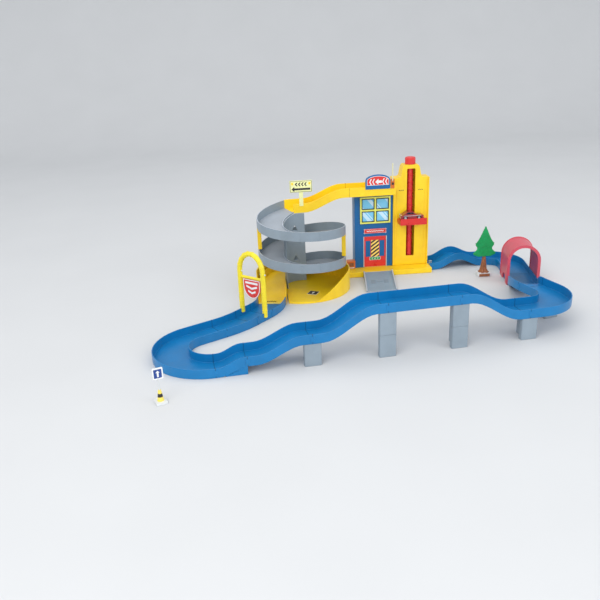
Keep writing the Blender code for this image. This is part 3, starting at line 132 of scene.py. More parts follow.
class GarageSizes(bpy.types.PropertyGroup):
    """Sizes of the details that the looks add."""

    edge: length("Edge", "Width of the soft edge on every moulding", 0.0006)
    print_thick: length("Print", "How far a printed plate stands proud", 0.0003)
    panel_border: length("Panel border", "Raised border round a moulded panel", 0.0022)
    panel_depth: length("Panel depth", "How deep a moulded panel lies", 0.0005)
    thread_lead: length("Thread lead", "Rise of the lift screw in one turn", 0.024)
    thread_root: length("Thread root", "Radius of the screw between its threads", 0.0098)
    knob_flute: length("Knob flute", "Depth of the knob's flutes", 0.0013)
    ring_spacing: length("Ring spacing", "Distance between the rings on the gate's tube", 0.0135)
    stripe: length("Stripe", "Width of one hazard stripe", 0.0064)


class GarageColours(bpy.types.PropertyGroup):
    """Colours of the plastics and the prints."""

    yellow: colour("Yellow", "Tower, deck, bases and gate", (1.0, 0.66, 0.014))
    lemon: colour("Lemon", "Gate", (0.92, 0.76, 0.030))
    grey: colour("Grey", "Spiral, exit ramp and blocks", (0.255, 0.315, 0.370))
    # Lane: floors painted paler than the grey walls, painted light from above.
    lane: colour("Lane", "Floors of the spiral", (0.36, 0.40, 0.45))
    red: colour("Red", "Lift, knob and door", (0.72, 0.030, 0.026))
    facade: colour("Facade blue", "Shop front", (0.0, 0.115, 0.34))
    track: colour("Track blue", "Track pieces", (0.0, 0.175, 0.44))
    tunnel: colour("Tunnel red", "Tunnel", (0.66, 0.085, 0.120))
    leaf: colour("Leaf green", "Tree", (0.0, 0.32, 0.085))
    bark: colour("Bark brown", "Trunk", (0.30, 0.105, 0.040))
    orange: colour("Orange", "Kiosk and barrier post", (0.68, 0.155, 0.015))
    pale: colour("Pale", "Stand, arm, pole and rims", (0.68, 0.71, 0.72))
    pane: colour("Pane", "Window panes", (0.22, 0.62, 0.90))
    sash: colour("Sash", "Window frame", (0.80, 0.82, 0.16))
    car: colour("Car red", "Car's paint", (0.22, 0.004, 0.010))
    ink: colour("Ink", "Dark prints and rubber", (0.018, 0.018, 0.022))
    white: colour("White", "Light prints", (0.82, 0.83, 0.82))
    sign_blue: colour("Sign blue", "Border of the arched sign", (0.015, 0.055, 0.26))


def sizes():
    return bpy.context.scene.garage_sizes


def colours():
    return bpy.context.scene.garage_colours


class Signal:
    """A shader value that joins in plain arithmetic."""

    def __init__(self, recipe, socket):
        self.recipe = recipe
        self.socket = socket

    def maths(self, operation, *values):
        return self.recipe.node('ShaderNodeMath', {"operation": operation},
                                dict(enumerate(values)))

    def __add__(self, other):
        return self.maths('ADD', self, other)

    __radd__ = __add__

    def __sub__(self, other):
        return self.maths('SUBTRACT', self, other)

    def __rsub__(self, other):
        return self.maths('SUBTRACT', other, self)

    def __mul__(self, other):
        return self.maths('MULTIPLY', self, other)

    __rmul__ = __mul__

    def __mod__(self, other):
        return self.maths('FLOORED_MODULO', self, other)

    def __rmod__(self, other):
        return self.maths('FLOORED_MODULO', other, self)

    def __gt__(self, other):
        return self.maths('GREATER_THAN', self, other)

    def __lt__(self, other):
        return self.maths('LESS_THAN', self, other)


class Recipe:
    """The shader nodes of one material."""

    def __init__(self, name, roughness=0.4, metallic=0.0, coat=0.0):
        self.material = bpy.data.materials.new(name)
        self.material.use_nodes = True
        self.tree = self.material.node_tree
        self.shader = self.tree.nodes["Principled BSDF"]
        self.shader.inputs["Roughness"].default_value = roughness
        self.shader.inputs["Metallic"].default_value = metallic
        self.shader.inputs["Coat Weight"].default_value = coat
        self.place = self.node('ShaderNodeTexCoord', output="Object")
        axes = self.tree.nodes.new('ShaderNodeSeparateXYZ')
        self.feed(axes.inputs[0], self.place)
        self.x, self.y, self.z = (Signal(self, axes.outputs[i]) for i in range(3))

    def feed(self, socket, value):
        """Link a signal into a socket, or set the socket's value."""
        if isinstance(value, Signal):
            self.tree.links.new(value.socket, socket)
        elif socket.type == 'RGBA' and len(value) == 3:
            socket.default_value = (*value, 1.0)
        else:
            socket.default_value = value

    def node(self, kind, settings=None, values=None, output=0):
        """Add a node: its settings first, then the values or links of its sockets."""
        made = self.tree.nodes.new(kind)
        for key, value in (settings or {}).items():
            setattr(made, key, value)
        for key, value in (values or {}).items():
            self.feed(made.inputs[key], value)
        return Signal(self, made.outputs[output])

    def noise(self, scale, detail=2.0, stretch=(1.0, 1.0, 1.0)):
        """Return a soft noise of this many features to the metre."""
        place = self.place
        if stretch != (1.0, 1.0, 1.0):
            place = self.node('ShaderNodeMapping', values={"Vector": place, "Scale": stretch})
        return self.node('ShaderNodeTexNoise',
                         values={"Vector": place, "Scale": scale, "Detail": detail})

    def mix(self, share, first, second):
        return self.node('ShaderNodeMix', {"data_type": 'RGBA'}, {0: share, 6: first, 7: second}, 2)

    def limit(self, value, low, high):
        """Return how far a value has gone from low to high, from 0 to 1."""
        return self.node('ShaderNodeMapRange',
                         values={"Value": value, "From Min": low, "From Max": high})

    def paint(self, value):
        self.feed(self.shader.inputs["Base Color"], value)

    def mottle(self, pattern, low, high, tone, dark, light):
        """Paint a tone that goes from a darker to a lighter share with a pattern."""
        self.paint(self.mix(self.limit(pattern, low, high), shade(tone, dark), shade(tone, light)))

    def gloss(self, value):
        self.feed(self.shader.inputs["Roughness"], value)

    def uneven(self, pattern, spread, base):
        """Let the roughness rise from a base by up to a spread with a pattern."""
        self.gloss(self.limit(pattern, 0.3, 0.7) * spread + base)

    def relief(self, height, distance, strength=0.5):
        """Raise the surface by a height of up to this distance."""
        bump = self.node('ShaderNodeBump', values={"Height": height, "Distance": distance,
                                                   "Strength": strength})
        self.feed(self.shader.inputs["Normal"], bump)


def shade(tone, share):
    return tuple(max(0.0, min(1.0, part * share)) for part in tone)


def moulded(name, tone, roughness=0.36, grain=0.35, coat=0.0):
    """Injection-moulded plastic: a fine grain, faint flow marks and slightly uneven gloss."""
    recipe = Recipe(name, roughness, coat=coat)
    flow = recipe.noise(14.0, 3.0, (1.0, 1.0, 0.35))
    cloud = recipe.noise(42.0, 2.0)
    recipe.mottle(flow * 0.65 + cloud * 0.35, 0.36, 0.64, tone, 0.90, 1.05)
    scuff = recipe.limit(recipe.noise(95.0, 4.0, (1.0, 2.2, 1.0)), 0.60, 0.72)
    recipe.gloss(recipe.limit(cloud, 0.3, 0.7) * 0.07 + scuff * 0.05 + (roughness - 0.04))
    fine = recipe.noise(2600.0, 1.0)
    wave = recipe.noise(70.0, 1.0)
    recipe.relief(fine * 0.3 + wave * 0.7, 0.00012, grain)
    return recipe.material


def print_ink(name, tone):
    """Printed film: flat colour with a faint screen grain."""
    recipe = Recipe(name, 0.45)
    grain = recipe.noise(1500.0, 2.0)
    cloud = recipe.noise(60.0, 2.0)
    recipe.mottle(grain * 0.5 + cloud * 0.5, 0.35, 0.65, tone, 0.93, 1.05)
    recipe.uneven(cloud, 0.12, 0.39)
    recipe.relief(grain, 0.00005, 0.25)
    return recipe.material


def hazard_ink(name, light, dark, stripe):
    """Slanting hazard stripes."""
    recipe = Recipe(name, 0.42)
    slant = recipe.x * 0.72 - recipe.z
    share = (slant % (stripe * 2)) < stripe
    cloud = recipe.noise(80.0, 2.0)
    soft = recipe.mix(recipe.limit(cloud, 0.35, 0.65), shade(light, 0.93), light)
    recipe.paint(recipe.mix(share, soft, dark))
    recipe.uneven(cloud, 0.1, 0.38)
    recipe.relief(recipe.noise(1500.0, 2.0), 0.00005, 0.25)
    return recipe.material


def window_pane(name, tone, low, height):
    """Sky-coloured panes that grow lighter towards the top of each pane, a painted reflection, with
    two slanting bands of painted glare in each.
    """
    recipe = Recipe(name, 0.16, coat=0.6)
    slant = recipe.x + recipe.z * 0.86
    turn = (slant + 0.004) % (height / 2 * 1.33)
    # Two slanting bands of painted glare.
    wide = (turn > height * 0.20) * (turn < height * 0.36)
    thin = (turn > height * 0.42) * (turn < height * 0.46)
    # Painted reflection: each pane grows lighter towards its top.
    painted_reflection_fade = recipe.limit((recipe.z - low) % (height / 2), 0.0, height / 2)
    sky_with_painted_reflection = recipe.mix(painted_reflection_fade, shade(tone, 0.86), shade(tone, 1.10))
    recipe.paint(recipe.mix((wide + thin) * 0.62, sky_with_painted_reflection, (0.80, 0.93, 1.0)))
    recipe.gloss(recipe.noise(50.0, 2.0) * 0.10 + 0.12)
    recipe.relief(recipe.noise(35.0, 1.0), 0.0003, 0.2)
    return recipe.material


def leafy(name, tone):
    """Green plastic with a raised pattern of needles."""
    recipe = Recipe(name, 0.5)
    needles = recipe.noise(420.0, 3.0, (1.0, 1.0, 0.22))
    cloud = recipe.noise(45.0, 3.0)
    recipe.mottle(needles * 0.6 + cloud * 0.4, 0.35, 0.65, tone, 0.78, 1.18)
    recipe.uneven(needles, 0.15, 0.42)
    recipe.relief(needles, 0.0006, 0.6)
    return recipe.material


def barky(name, tone):
    """Brown plastic with grooves that run up the trunk."""
    recipe = Recipe(name, 0.55)
    grooves = recipe.noise(900.0, 3.0, (1.0, 1.0, 0.08))
    recipe.mottle(grooves, 0.36, 0.62, tone, 0.55, 1.35)
    recipe.uneven(grooves, 0.15, 0.48)
    recipe.relief(grooves, 0.0008, 0.8)
    return recipe.material


def banded_cone(name, light, dark, foot, low, high):
    """A pale foot under a light cone with one dark band."""
    recipe = Recipe(name, 0.4)
    tall = high - low
    band = (recipe.z > low + tall * 0.36) * (recipe.z < low + tall * 0.68)
    cone = recipe.mix(band, light, dark)
    recipe.paint(recipe.mix(recipe.z > low, foot, cone))
    recipe.gloss(recipe.noise(200.0, 2.0) * 0.12 + 0.34)
    recipe.relief(recipe.noise(1200.0, 2.0), 0.0001, 0.3)
    return recipe.material


def car_paint(name, tone):
    """Metallic car paint under a clear coat."""
    recipe = Recipe(name, 0.3, metallic=0.25, coat=0.8)
    recipe.mottle(recipe.noise(5200.0, 1.0), 0.4, 0.65, tone, 1.0, 1.7)
    recipe.gloss(recipe.noise(90.0, 2.0) * 0.1 + 0.24)
    recipe.relief(recipe.noise(300.0, 2.0), 0.00005, 0.2)
    return recipe.material


MATERIALS = {}


def make_materials():
    """Mix every plastic and ink once, from the colours in the panel."""
    tone = {name: tuple(getattr(colours(), name)) for name in GarageColours.__annotations__}
    for name in ("yellow", "lemon", "facade", "tunnel", "pale", "orange"):
        MATERIALS[name] = moulded(name + "_plastic", tone[name])
    for name, title, shown, *finish in (
            ("track", "track_plastic", tone["track"], 0.36),
            # Darker blue and darker yellow for the lines at the seams: painted shadow in the
            # joints.
            ("track_seam", "track_seam", shade(tone["track"], 0.42), 0.4),
            ("yellow_seam", "yellow_seam", shade(tone["yellow"], 0.50), 0.4),
            ("cream", "cream_plastic", (0.74, 0.72, 0.46), 0.36),
            ("grey", "grey_plastic", tone["grey"], 0.40, 0.45),
            # Lane and slope: floors paler than the grey walls, painted light from above.
            ("lane", "lane_plastic", tone["lane"], 0.46, 0.5),
            ("slope", "slope_plastic", (0.25, 0.34, 0.42), 0.44),
            # Pale tops of the walls: painted highlights.
            ("lane_rim", "lane_rim", shade(tone["lane"], 1.35), 0.34),
            ("red", "red_plastic", tone["red"], 0.30, 0.3, 0.15),
            ("sash", "sash_plastic", tone["sash"], 0.38),
            ("rubber", "black_rubber", tone["ink"], 0.58, 0.5),
            ("chrome", "silver_plastic", (0.62, 0.63, 0.66), 0.24, 0.2, 0.4),
            ("clear", "lamp_lens", (0.85, 0.82, 0.66), 0.14, 0.2, 0.7),
            ("smoke", "dark_glass", (0.012, 0.014, 0.018), 0.12, 0.1, 0.8)):
        MATERIALS[name] = moulded(title, shown, *finish)
    for name in ("ink", "white", "sign_blue", "leaf", "red", "yellow"):
        MATERIALS["print_" + name] = print_ink(name + "_print", tone[name])
    MATERIALS["print_cream"] = print_ink("cream_print", (0.86, 0.87, 0.42))
    MATERIALS["hazard"] = hazard_ink("hazard_stripes", (1.0, 0.72, 0.16), tone["ink"],
                                     sizes().stripe)
    low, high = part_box("window_frame")
    MATERIALS["pane"] = window_pane("window_panes", tone["pane"], low.z, high.z - low.z)
    MATERIALS["leafy"] = leafy("tree_green", tone["leaf"])
    MATERIALS["barky"] = barky("trunk_bark", tone["bark"])
    cone_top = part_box("street_sign_base")[1].z
    MATERIALS["cone"] = banded_cone("banded_cone", (0.90, 0.70, 0.12), tone["ink"], tone["pale"],
                                    STREET_FOOT_TOP + 0.0001, cone_top)
    MATERIALS["paint"] = car_paint("car_paint", tone["car"])


def put(name, data):
    """Put an object with this mesh, lamp or camera in the scene."""
    item = bpy.data.objects.new(name, data)
    bpy.context.scene.collection.objects.link(item)
    return item


def add_piece(name, bm, material, body, smooth_angle=0.62, extras=()):
    """Turn a bmesh into a piece that rides on a body."""
    mesh = bpy.data.meshes.new(name)
    bm.to_mesh(mesh)
    bm.free()
    for finish in (material, *extras):
        mesh.materials.append(MATERIALS[finish])
    mesh.shade_smooth()
    mesh.set_sharp_from_angle(angle=smooth_angle)
    item = put(name, mesh)
    evener = item.modifiers.new("even_shading", 'WEIGHTED_NORMAL')
    evener.keep_sharp = True
    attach(item, body)
    return item


def bevel_edges(bm, edges, width, segments=2):
    bmesh.ops.bevel(bm, geom=edges, offset=width, offset_type='OFFSET', segments=segments,
                    profile=0.5, affect='EDGES', clamp_overlap=True, material=-1)


def sharp_edges(bm, angle, shortest):
    """Return the edges that fold by more than an angle and have no very short neighbour."""
    found = []
    for edge in bm.edges:
        if len(edge.link_faces) != 2 or edge.calc_face_angle(0.0) < angle:
            continue
        if edge.calc_length() < shortest:
            continue
        near = [other for vert in edge.verts for other in vert.link_edges]
        if min(other.calc_length() for other in near) > shortest:
            found.append(edge)
    return found


def merged_copy(node):
    """Return a node's mesh with its loose triangles merged into faces."""
    bm = bmesh.new()
    bm.from_mesh(frame["nodes"][node].data)
    bmesh.ops.remove_doubles(bm, verts=bm.verts, dist=MERGE)
    bmesh.ops.dissolve_limit(bm, angle_limit=0.01, verts=bm.verts, edges=bm.edges)
    return bm


def sink_panels(bm, faces, border, depth):
    """Sink a group of faces a little inside a border."""
    bm.normal_update()
    bmesh.ops.inset_region(bm, faces=faces, thickness=border, use_boundary=True,
                           use_even_offset=True)
    bm.normal_update()
    group = set(faces)
    for vert in {vert for face in faces for vert in face.verts}:
        way = sum((face.normal for face in vert.link_faces if face in group), Vector())
        vert.co -= way.normalized() * depth


def moulding(node, material, edge=None, panels=None, extras=()):
    """Let a copy of a node stand for it, with soft edges as wide as the panel says, or as given."""
    bm = merged_copy(node)
    width = edge or sizes().edge
    bevel_edges(bm, sharp_edges(bm, FOLD, width * 2.4), width)
    if panels is not None:
        panels(bm)
    item = add_piece(node + "_moulding", bm, material, frame["nodes"][node]["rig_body"],
                     extras=extras)
    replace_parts(item, node)


def is_broad(face):
    """Tell a wall from the thin outline at a lane's end."""
    return 4 * math.pi * face.calc_area() / face.calc_perimeter() ** 2 > THIN_OUTLINE


def is_floor(face):
    """Tell a lane's floor from the narrow rims of its walls."""
    return face.normal.z > LEVEL and face.calc_area() / face.calc_perimeter() > NARROW_RIM


def lane_panels(bm):
    """Sink the floor of a lane and the outside of its walls, which leaves raised borders."""
    bm.normal_update()
    floor = [face for face in bm.faces if is_floor(face)]
    under = {face for face in bm.faces
             if face.normal.z < -LEVEL and face.calc_area() > SMALL_UNDERSIDE}
    skirt = set()
    for face in bm.faces:
        if abs(face.normal.z) < UPRIGHT and face.calc_area() > SMALL_WALL and is_broad(face):
            for edge in face.edges:
                for step in edge.link_faces:
                    if step is face:
                        continue
                    around = {far for side in step.edges for far in side.link_faces}
                    if step in under or around & under:
                        skirt.add(face)
    border = sizes().panel_border
    sink_panels(bm, floor, border, sizes().panel_depth)
    if skirt:
        sink_panels(bm, list(skirt), border, sizes().panel_depth)


def spiral_panels(bm):
    """Lay a paler floor in the spiral's lane, painted light from above, and pale rims on its walls,
    painted highlights.
    """
    bm.normal_update()
    for face in bm.faces:
        if face.normal.z > LEVEL:
            # Index 1 paints the floor paler, painted light; index 2 paints the tops of the walls
            # pale, painted highlights.
            face.material_index = 1 if is_floor(face) else 2
    lane_panels(bm)


def arc(half, rise, z, angles):
    """Return points along an arc that is this wide and rises by this much from a height."""
    return [(half * math.cos(math.radians(a)), z + rise * math.sin(math.radians(a)))
            for a in angles]


def rounded(width, height, radius, x=0.0, y=0.0, steps=5):
    """Return the outline of a rectangle with round corners."""
    points = []
    corners = ((1, 1, 0), (-1, 1, 90), (-1, -1, 180), (1, -1, 270))
    for side, end, start in corners:
        for i in range(steps + 1):
            angle = math.radians(start + 90 * i / steps)
            points.append((x + side * (width / 2 - radius) + radius * math.cos(angle),
                           y + end * (height / 2 - radius) + radius * math.sin(angle)))
    return points


def arrow(span, thick, x=0.0, y=0.0, turn=0.0):
    """Return the outline of an arrow that points along +X before its turn, in degrees."""
    half = span / 2
    head = thick * 1.25
    points = [(-half, -thick / 2), (half - head * 1.1, -thick / 2), (half - head * 1.1, -head),
              (half, 0), (half - head * 1.1, head), (half - head * 1.1, thick / 2),
              (-half, thick / 2)]
    return turned(points, turn, x, y)


def chevron(width, height, thick, x=0.0, y=0.0, turn=0.0):
    """Return the outline of a chevron that points along +X before its turn, in degrees."""
    half = height / 2
    points = [(-width / 2, -half), (-width / 2 + thick, -half), (width / 2, 0),
              (-width / 2 + thick, half), (-width / 2, half), (width / 2 - thick, 0)]
    return turned(points, turn, x, y)


def turned(points, turn, x, y):
    angle = math.radians(turn)
    return [(x + px * math.cos(angle) - py * math.sin(angle),
             y + px * math.sin(angle) + py * math.cos(angle)) for px, py in points]


def lying(x, y, turn=0.0, z=0.0):
    """Return the place of a plate that lies flat, turned about Z in degrees."""
    return Matrix.Translation((x, y, z)) @ Matrix.Rotation(math.radians(turn), 4, 'Z')


def facing(x, y, z, turn=0.0):
    """Return the place of an upright plate that faces the front, turned about Z in degrees."""
    return lying(x, y, turn, z) @ Matrix(((1, 0, 0, 0), (0, 0, -1, 0), (0, 1, 0, 0), (0, 0, 0, 1)))


def front_of(node, z=None):
    """Return the place of a plate on a node's front: at a height, or at half its height."""
    low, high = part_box(node)
    return facing((low.x + high.x) / 2, low.y, (low.z + high.z) / 2 if z is None else z)


def faces_of(node, depth=None):
    """Return the places of plates on the front and the back of an upright node."""
    low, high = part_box(node)
    back = high.y if depth is None else low.y + depth
    return front_of(node, 0), facing((low.x + high.x) / 2, back, 0, 180.0)


def turned_faces(x, y, turn, depth):
    """Return the places of plates on the front and the back of an upright plate turned about Z."""
    return [lying(x, y, turn + way) @ facing(0, -depth / 2, 0) for way in (0.0, 180.0)]


def standing(node):
    """Return the place of a round piece on a node's upright axis."""
    low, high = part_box(node)
    return lying((low.x + high.x) / 2, (low.y + high.y) / 2)


def plates(name, outlines, thick, place, material, body="garage", margin=0.0, border=0.0,
           edge=0.0, sink=0.0001, drape=None):
    """Raise outlines into plates on a surface; a margin draws them in, a border keeps a ring."""
    bm = bmesh.new()
    for points in outlines:
        face = bm.faces.new([bm.verts.new((x, y, -sink)) for x, y in points])
        face.normal_update()
        if face.normal.z < 0:
            face.normal_flip()
        if margin:
            rim = bmesh.ops.inset_region(bm, faces=[face], thickness=margin, use_boundary=True,
                                         use_even_offset=True)["faces"]
            bmesh.ops.delete(bm, geom=rim, context='FACES')
            face.normal_update()
        if border:
            bmesh.ops.inset_region(bm, faces=[face], thickness=border, use_boundary=True,
                                   use_even_offset=True)
            bmesh.ops.delete(bm, geom=[face], context='FACES_ONLY')
    loose = [vert for vert in bm.verts if not vert.link_faces]
    bmesh.ops.delete(bm, geom=loose, context='VERTS')
    grown = bmesh.ops.extrude_face_region(bm, geom=list(bm.faces), use_keep_orig=True)
    top = [part for part in grown["geom"] if isinstance(part, bmesh.types.BMVert)]
    bmesh.ops.translate(bm, vec=(0, 0, thick + sink), verts=top)
    bmesh.ops.recalc_face_normals(bm, faces=bm.faces)
    if edge:
        bm.normal_update()
        rims = [side for side in sharp_edges(bm, FOLD, edge * 2.2)
                if all(vert.co.z > 0 for vert in side.verts)]
        bevel_edges(bm, rims, edge)
    bmesh.ops.transform(bm, matrix=place, verts=bm.verts)
    if drape is not None:
        lay_on(bm, drape)
    add_piece(name, bm, material, body)


def print_both(places, *rows):
    """Print rows of name, outlines, layers, ink, margin and border on both faces of a plate."""
    for side, flip, place in zip(("front", "back"), (1, -1), places):
        for name, outlines, layers, ink, *rim in rows:
            shapes = [[(flip * x, z) for x, z in points] for points in outlines]
            plates(f"{name}_{side}", shapes, sizes().print_thick * layers, place,
                   "print_" + ink, "garage", *rim)


def lay_on(bm, node):
    """Lift every point by the height of the node's top surface under it."""
    ground = bmesh.new()
    ground.from_mesh(frame["nodes"][node].data)
    tree = BVHTree.FromBMesh(ground)
    for vert in bm.verts:
        hit = tree.ray_cast(Vector((vert.co.x, vert.co.y, 1.0)), Vector((0, 0, -1)))[0]
        if hit is None:
            raise RuntimeError("a print reaches past the edge of " + node)
        vert.co.z += hit.z
    ground.free()


def block(bm, low, high):
    """Add a box between two corners."""
    made = bmesh.ops.create_cube(bm, size=1.0)["verts"]
    bmesh.ops.scale(bm, vec=[high[i] - low[i] for i in range(3)], verts=made)
    bmesh.ops.translate(bm, vec=[(high[i] + low[i]) / 2 for i in range(3)], verts=made)


def blocks(name, boxes, material, body="garage", edge=0.0003, place=None):
    """Make one piece of several boxes with soft edges."""
    bm = bmesh.new()
    for low, high in boxes:
        block(bm, low, high)
    bevel_edges(bm, list(bm.edges), edge)
    if place is not None:
        bmesh.ops.transform(bm, matrix=place, verts=bm.verts)
    add_piece(name, bm, material, body)


def spun(profile, steps):
    """Spin a closed profile of (radius, height) points about Z."""
    bm = bmesh.new()
    verts = [bm.verts.new((radius, 0, height)) for radius, height in profile]
    edges = [bm.edges.new(pair) for pair in zip(verts, verts[1:])]
    bmesh.ops.spin(bm, geom=verts + edges, axis=(0, 0, 1), cent=(0, 0, 0),
                   angle=2 * math.pi, steps=steps, use_merge=True)
    bmesh.ops.remove_doubles(bm, verts=bm.verts, dist=MERGE)
    bmesh.ops.recalc_face_normals(bm, faces=bm.faces)
    return bm


def ring(radius, tube, steps=24, sides=8):
    """Return a round ring about Z."""
    profile = [(radius + tube * math.cos(2 * math.pi * i / sides),
                tube * math.sin(2 * math.pi * i / sides)) for i in range(sides + 1)]
    return spun(profile, steps)


def gather(name, parts, material, body="garage"):
    """Join placed meshes into one piece."""
    bm = bmesh.new()
    for part, place in parts:
        bmesh.ops.transform(part, matrix=place, verts=part.verts)
        holder = bpy.data.meshes.new("part")
        part.to_mesh(holder)
        part.free()
        bm.from_mesh(holder)
        bpy.data.meshes.remove(holder)
    return add_piece(name, bm, material, body)


def points_of(node):
    """Return the points of a node's mesh."""
    return [vert.co for vert in frame["nodes"][node].data.vertices]


def plan_axis(points):
    """Return the middle of a set of points in plan and the angle of its longest spread."""
    count = len(points)
    x = sum(point.x for point in points) / count
    y = sum(point.y for point in points) / count
    xx = sum((point.x - x) ** 2 for point in points)
    yy = sum((point.y - y) ** 2 for point in points)
    xy = sum((point.x - x) * (point.y - y) for point in points)
    return x, y, math.degrees(math.atan2(2 * xy, xx - yy) / 2)


def seam(first, second):
    """Return where two nodes meet: middle, angle across, half the width, low and high."""
    ends = points_of(second)
    tree = KDTree(len(ends))
    for i, point in enumerate(ends):
        tree.insert(point, i)
    tree.balance()
    near = [point for point in points_of(first) if tree.find(point)[2] < TOUCH]
    x, y, angle = plan_axis(near)
    across = Vector((math.cos(math.radians(angle)), math.sin(math.radians(angle))))
    spread = [(point.x - x) * across.x + (point.y - y) * across.y for point in near]
    middle = (max(spread) + min(spread)) / 2
    heights = [point.z for point in near]
    return (x + across.x * middle, y + across.y * middle, angle,
            (max(spread) - min(spread)) / 2, min(heights), max(heights))


def seam_shadow_line(name, first, second, material):
    """Run a thin dark line round the seam of two lanes, a painted shadow in the joint: outer walls,
    rims and floor.
    """
    x, y, angle, half, low, high = seam(first, second)
    out = half + SEAM_SHADOW_PROUD
    inner = half - LANE_WALL - SEAM_SHADOW_PROUD
    floor = low + LANE_WALL + SEAM_SHADOW_PROUD
    top = high + SEAM_SHADOW_PROUD
    outline = [(-out, low), (out, low), (out, top), (inner, top), (inner, floor),
               (-inner, floor), (-inner, top), (-out, top)]
    plates(name, [outline], SEAM_SHADOW_HALF, facing(x, y, 0, angle), material, sink=SEAM_SHADOW_HALF)


class Step:
    """What every step of the dressing shares."""

    bl_options = {'REGISTER', 'UNDO'}


class StageOperator(Step, bpy.types.Operator):
    """Lay the pale backdrop, hang the soft lights and set up the camera"""

    bl_idname = "garage.stage"
    bl_label = "Stage, lights and camera"

    def backdrop(self):
        """A floor that curves up into a wall far behind the toy."""
        bm = bmesh.new()
        bend = [(3.0 + 1.6 * math.sin(math.radians(a)), 1.6 - 1.6 * math.cos(math.radians(a)))
                for a in range(0, 91, 9)]
        line = [bm.verts.new((-7.0, y, z)) for y, z in [(-7.0, 0.0)] + bend + [(4.6, 6.0)]]
        edges = [bm.edges.new(pair) for pair in zip(line, line[1:])]
        grown = bmesh.ops.extrude_edge_only(bm, edges=edges)["geom"]
        moved = [part for part in grown if isinstance(part, bmesh.types.BMVert)]
        bmesh.ops.translate(bm, vec=(14.0, 0, -0.0002), verts=moved)
        bmesh.ops.translate(bm, vec=(0, 0, -0.0002), verts=line)
        bmesh.ops.recalc_face_normals(bm, faces=bm.faces)
        mesh = bpy.data.meshes.new("backdrop")
        bm.to_mesh(mesh)
        bm.free()
        recipe = Recipe("pale_backdrop", 0.85)
        cloud = recipe.noise(3.0, 2.0)
        recipe.paint(recipe.mix(cloud, (0.61, 0.62, 0.63), (0.65, 0.66, 0.67)))
        mesh.materials.append(recipe.material)
        mesh.shade_smooth()
        put("backdrop", mesh)

    def lamp(self, name, place, aim, size, power, tone=(1.0, 1.0, 1.0)):
        """A square soft box that shines at a point."""
        light = bpy.data.lights.new(name, 'AREA')
        light.shape = 'SQUARE'
        light.size = size
        light.energy = power
        light.color = tone
        item = put(name, light)
        item.location = place
        way = Vector(aim) - Vector(place)
        item.rotation_euler = way.to_track_quat('-Z', 'Y').to_euler()

    def camera(self):
        """The photograph's view: 40 mm, a little above the toy, almost square to the front."""
        lens = bpy.data.cameras.new("camera")
        lens.sensor_width = 36.0
        lens.lens = 40.02
        item = put("camera", lens)
        yaw, pitch, roll = math.radians(4.46), math.radians(20.61), math.radians(-2.36)
        turn = (Matrix.Rotation(-yaw, 4, 'Z') @ Matrix.Rotation(math.pi / 2 - pitch, 4, 'X')
                @ Matrix.Rotation(roll, 4, 'Z'))
        item.matrix_world = Matrix.Translation((-0.528, -2.084, 0.703)) @ turn
        bpy.context.scene.camera = item

    def world(self):
        """Soft, even light from all round."""
        world = bpy.data.worlds.new("soft_room")
        world.use_nodes = True
        tree = world.node_tree
        back = tree.nodes["Background"]
        back.inputs["Color"].default_value = (0.95, 0.97, 1.0, 1.0)
        back.inputs["Strength"].default_value = 0.92
        bpy.context.scene.world = world

    def execute(self, context):
        self.backdrop()
        self.world()
        self.lamp("key_light", (-1.9, -2.6, 2.7), (-0.2, -0.3, 0.1), 1.8, 44.0, (1.0, 0.98, 0.95))
        self.lamp("fill_light", (2.3, -2.4, 1.7), (-0.1, -0.3, 0.1), 2.2, 24.0, (0.97, 0.99, 1.0))
        self.lamp("low_light", (-0.5, -3.0, 0.75), (-0.3, -0.1, 0.15), 1.6, 13.0)
        self.lamp("top_light", (-0.2, 0.9, 2.8), (-0.2, -0.3, 0.0), 2.2, 10.0)
        context.scene.view_settings.view_transform = 'Standard'
        self.camera()
        return {'FINISHED'}


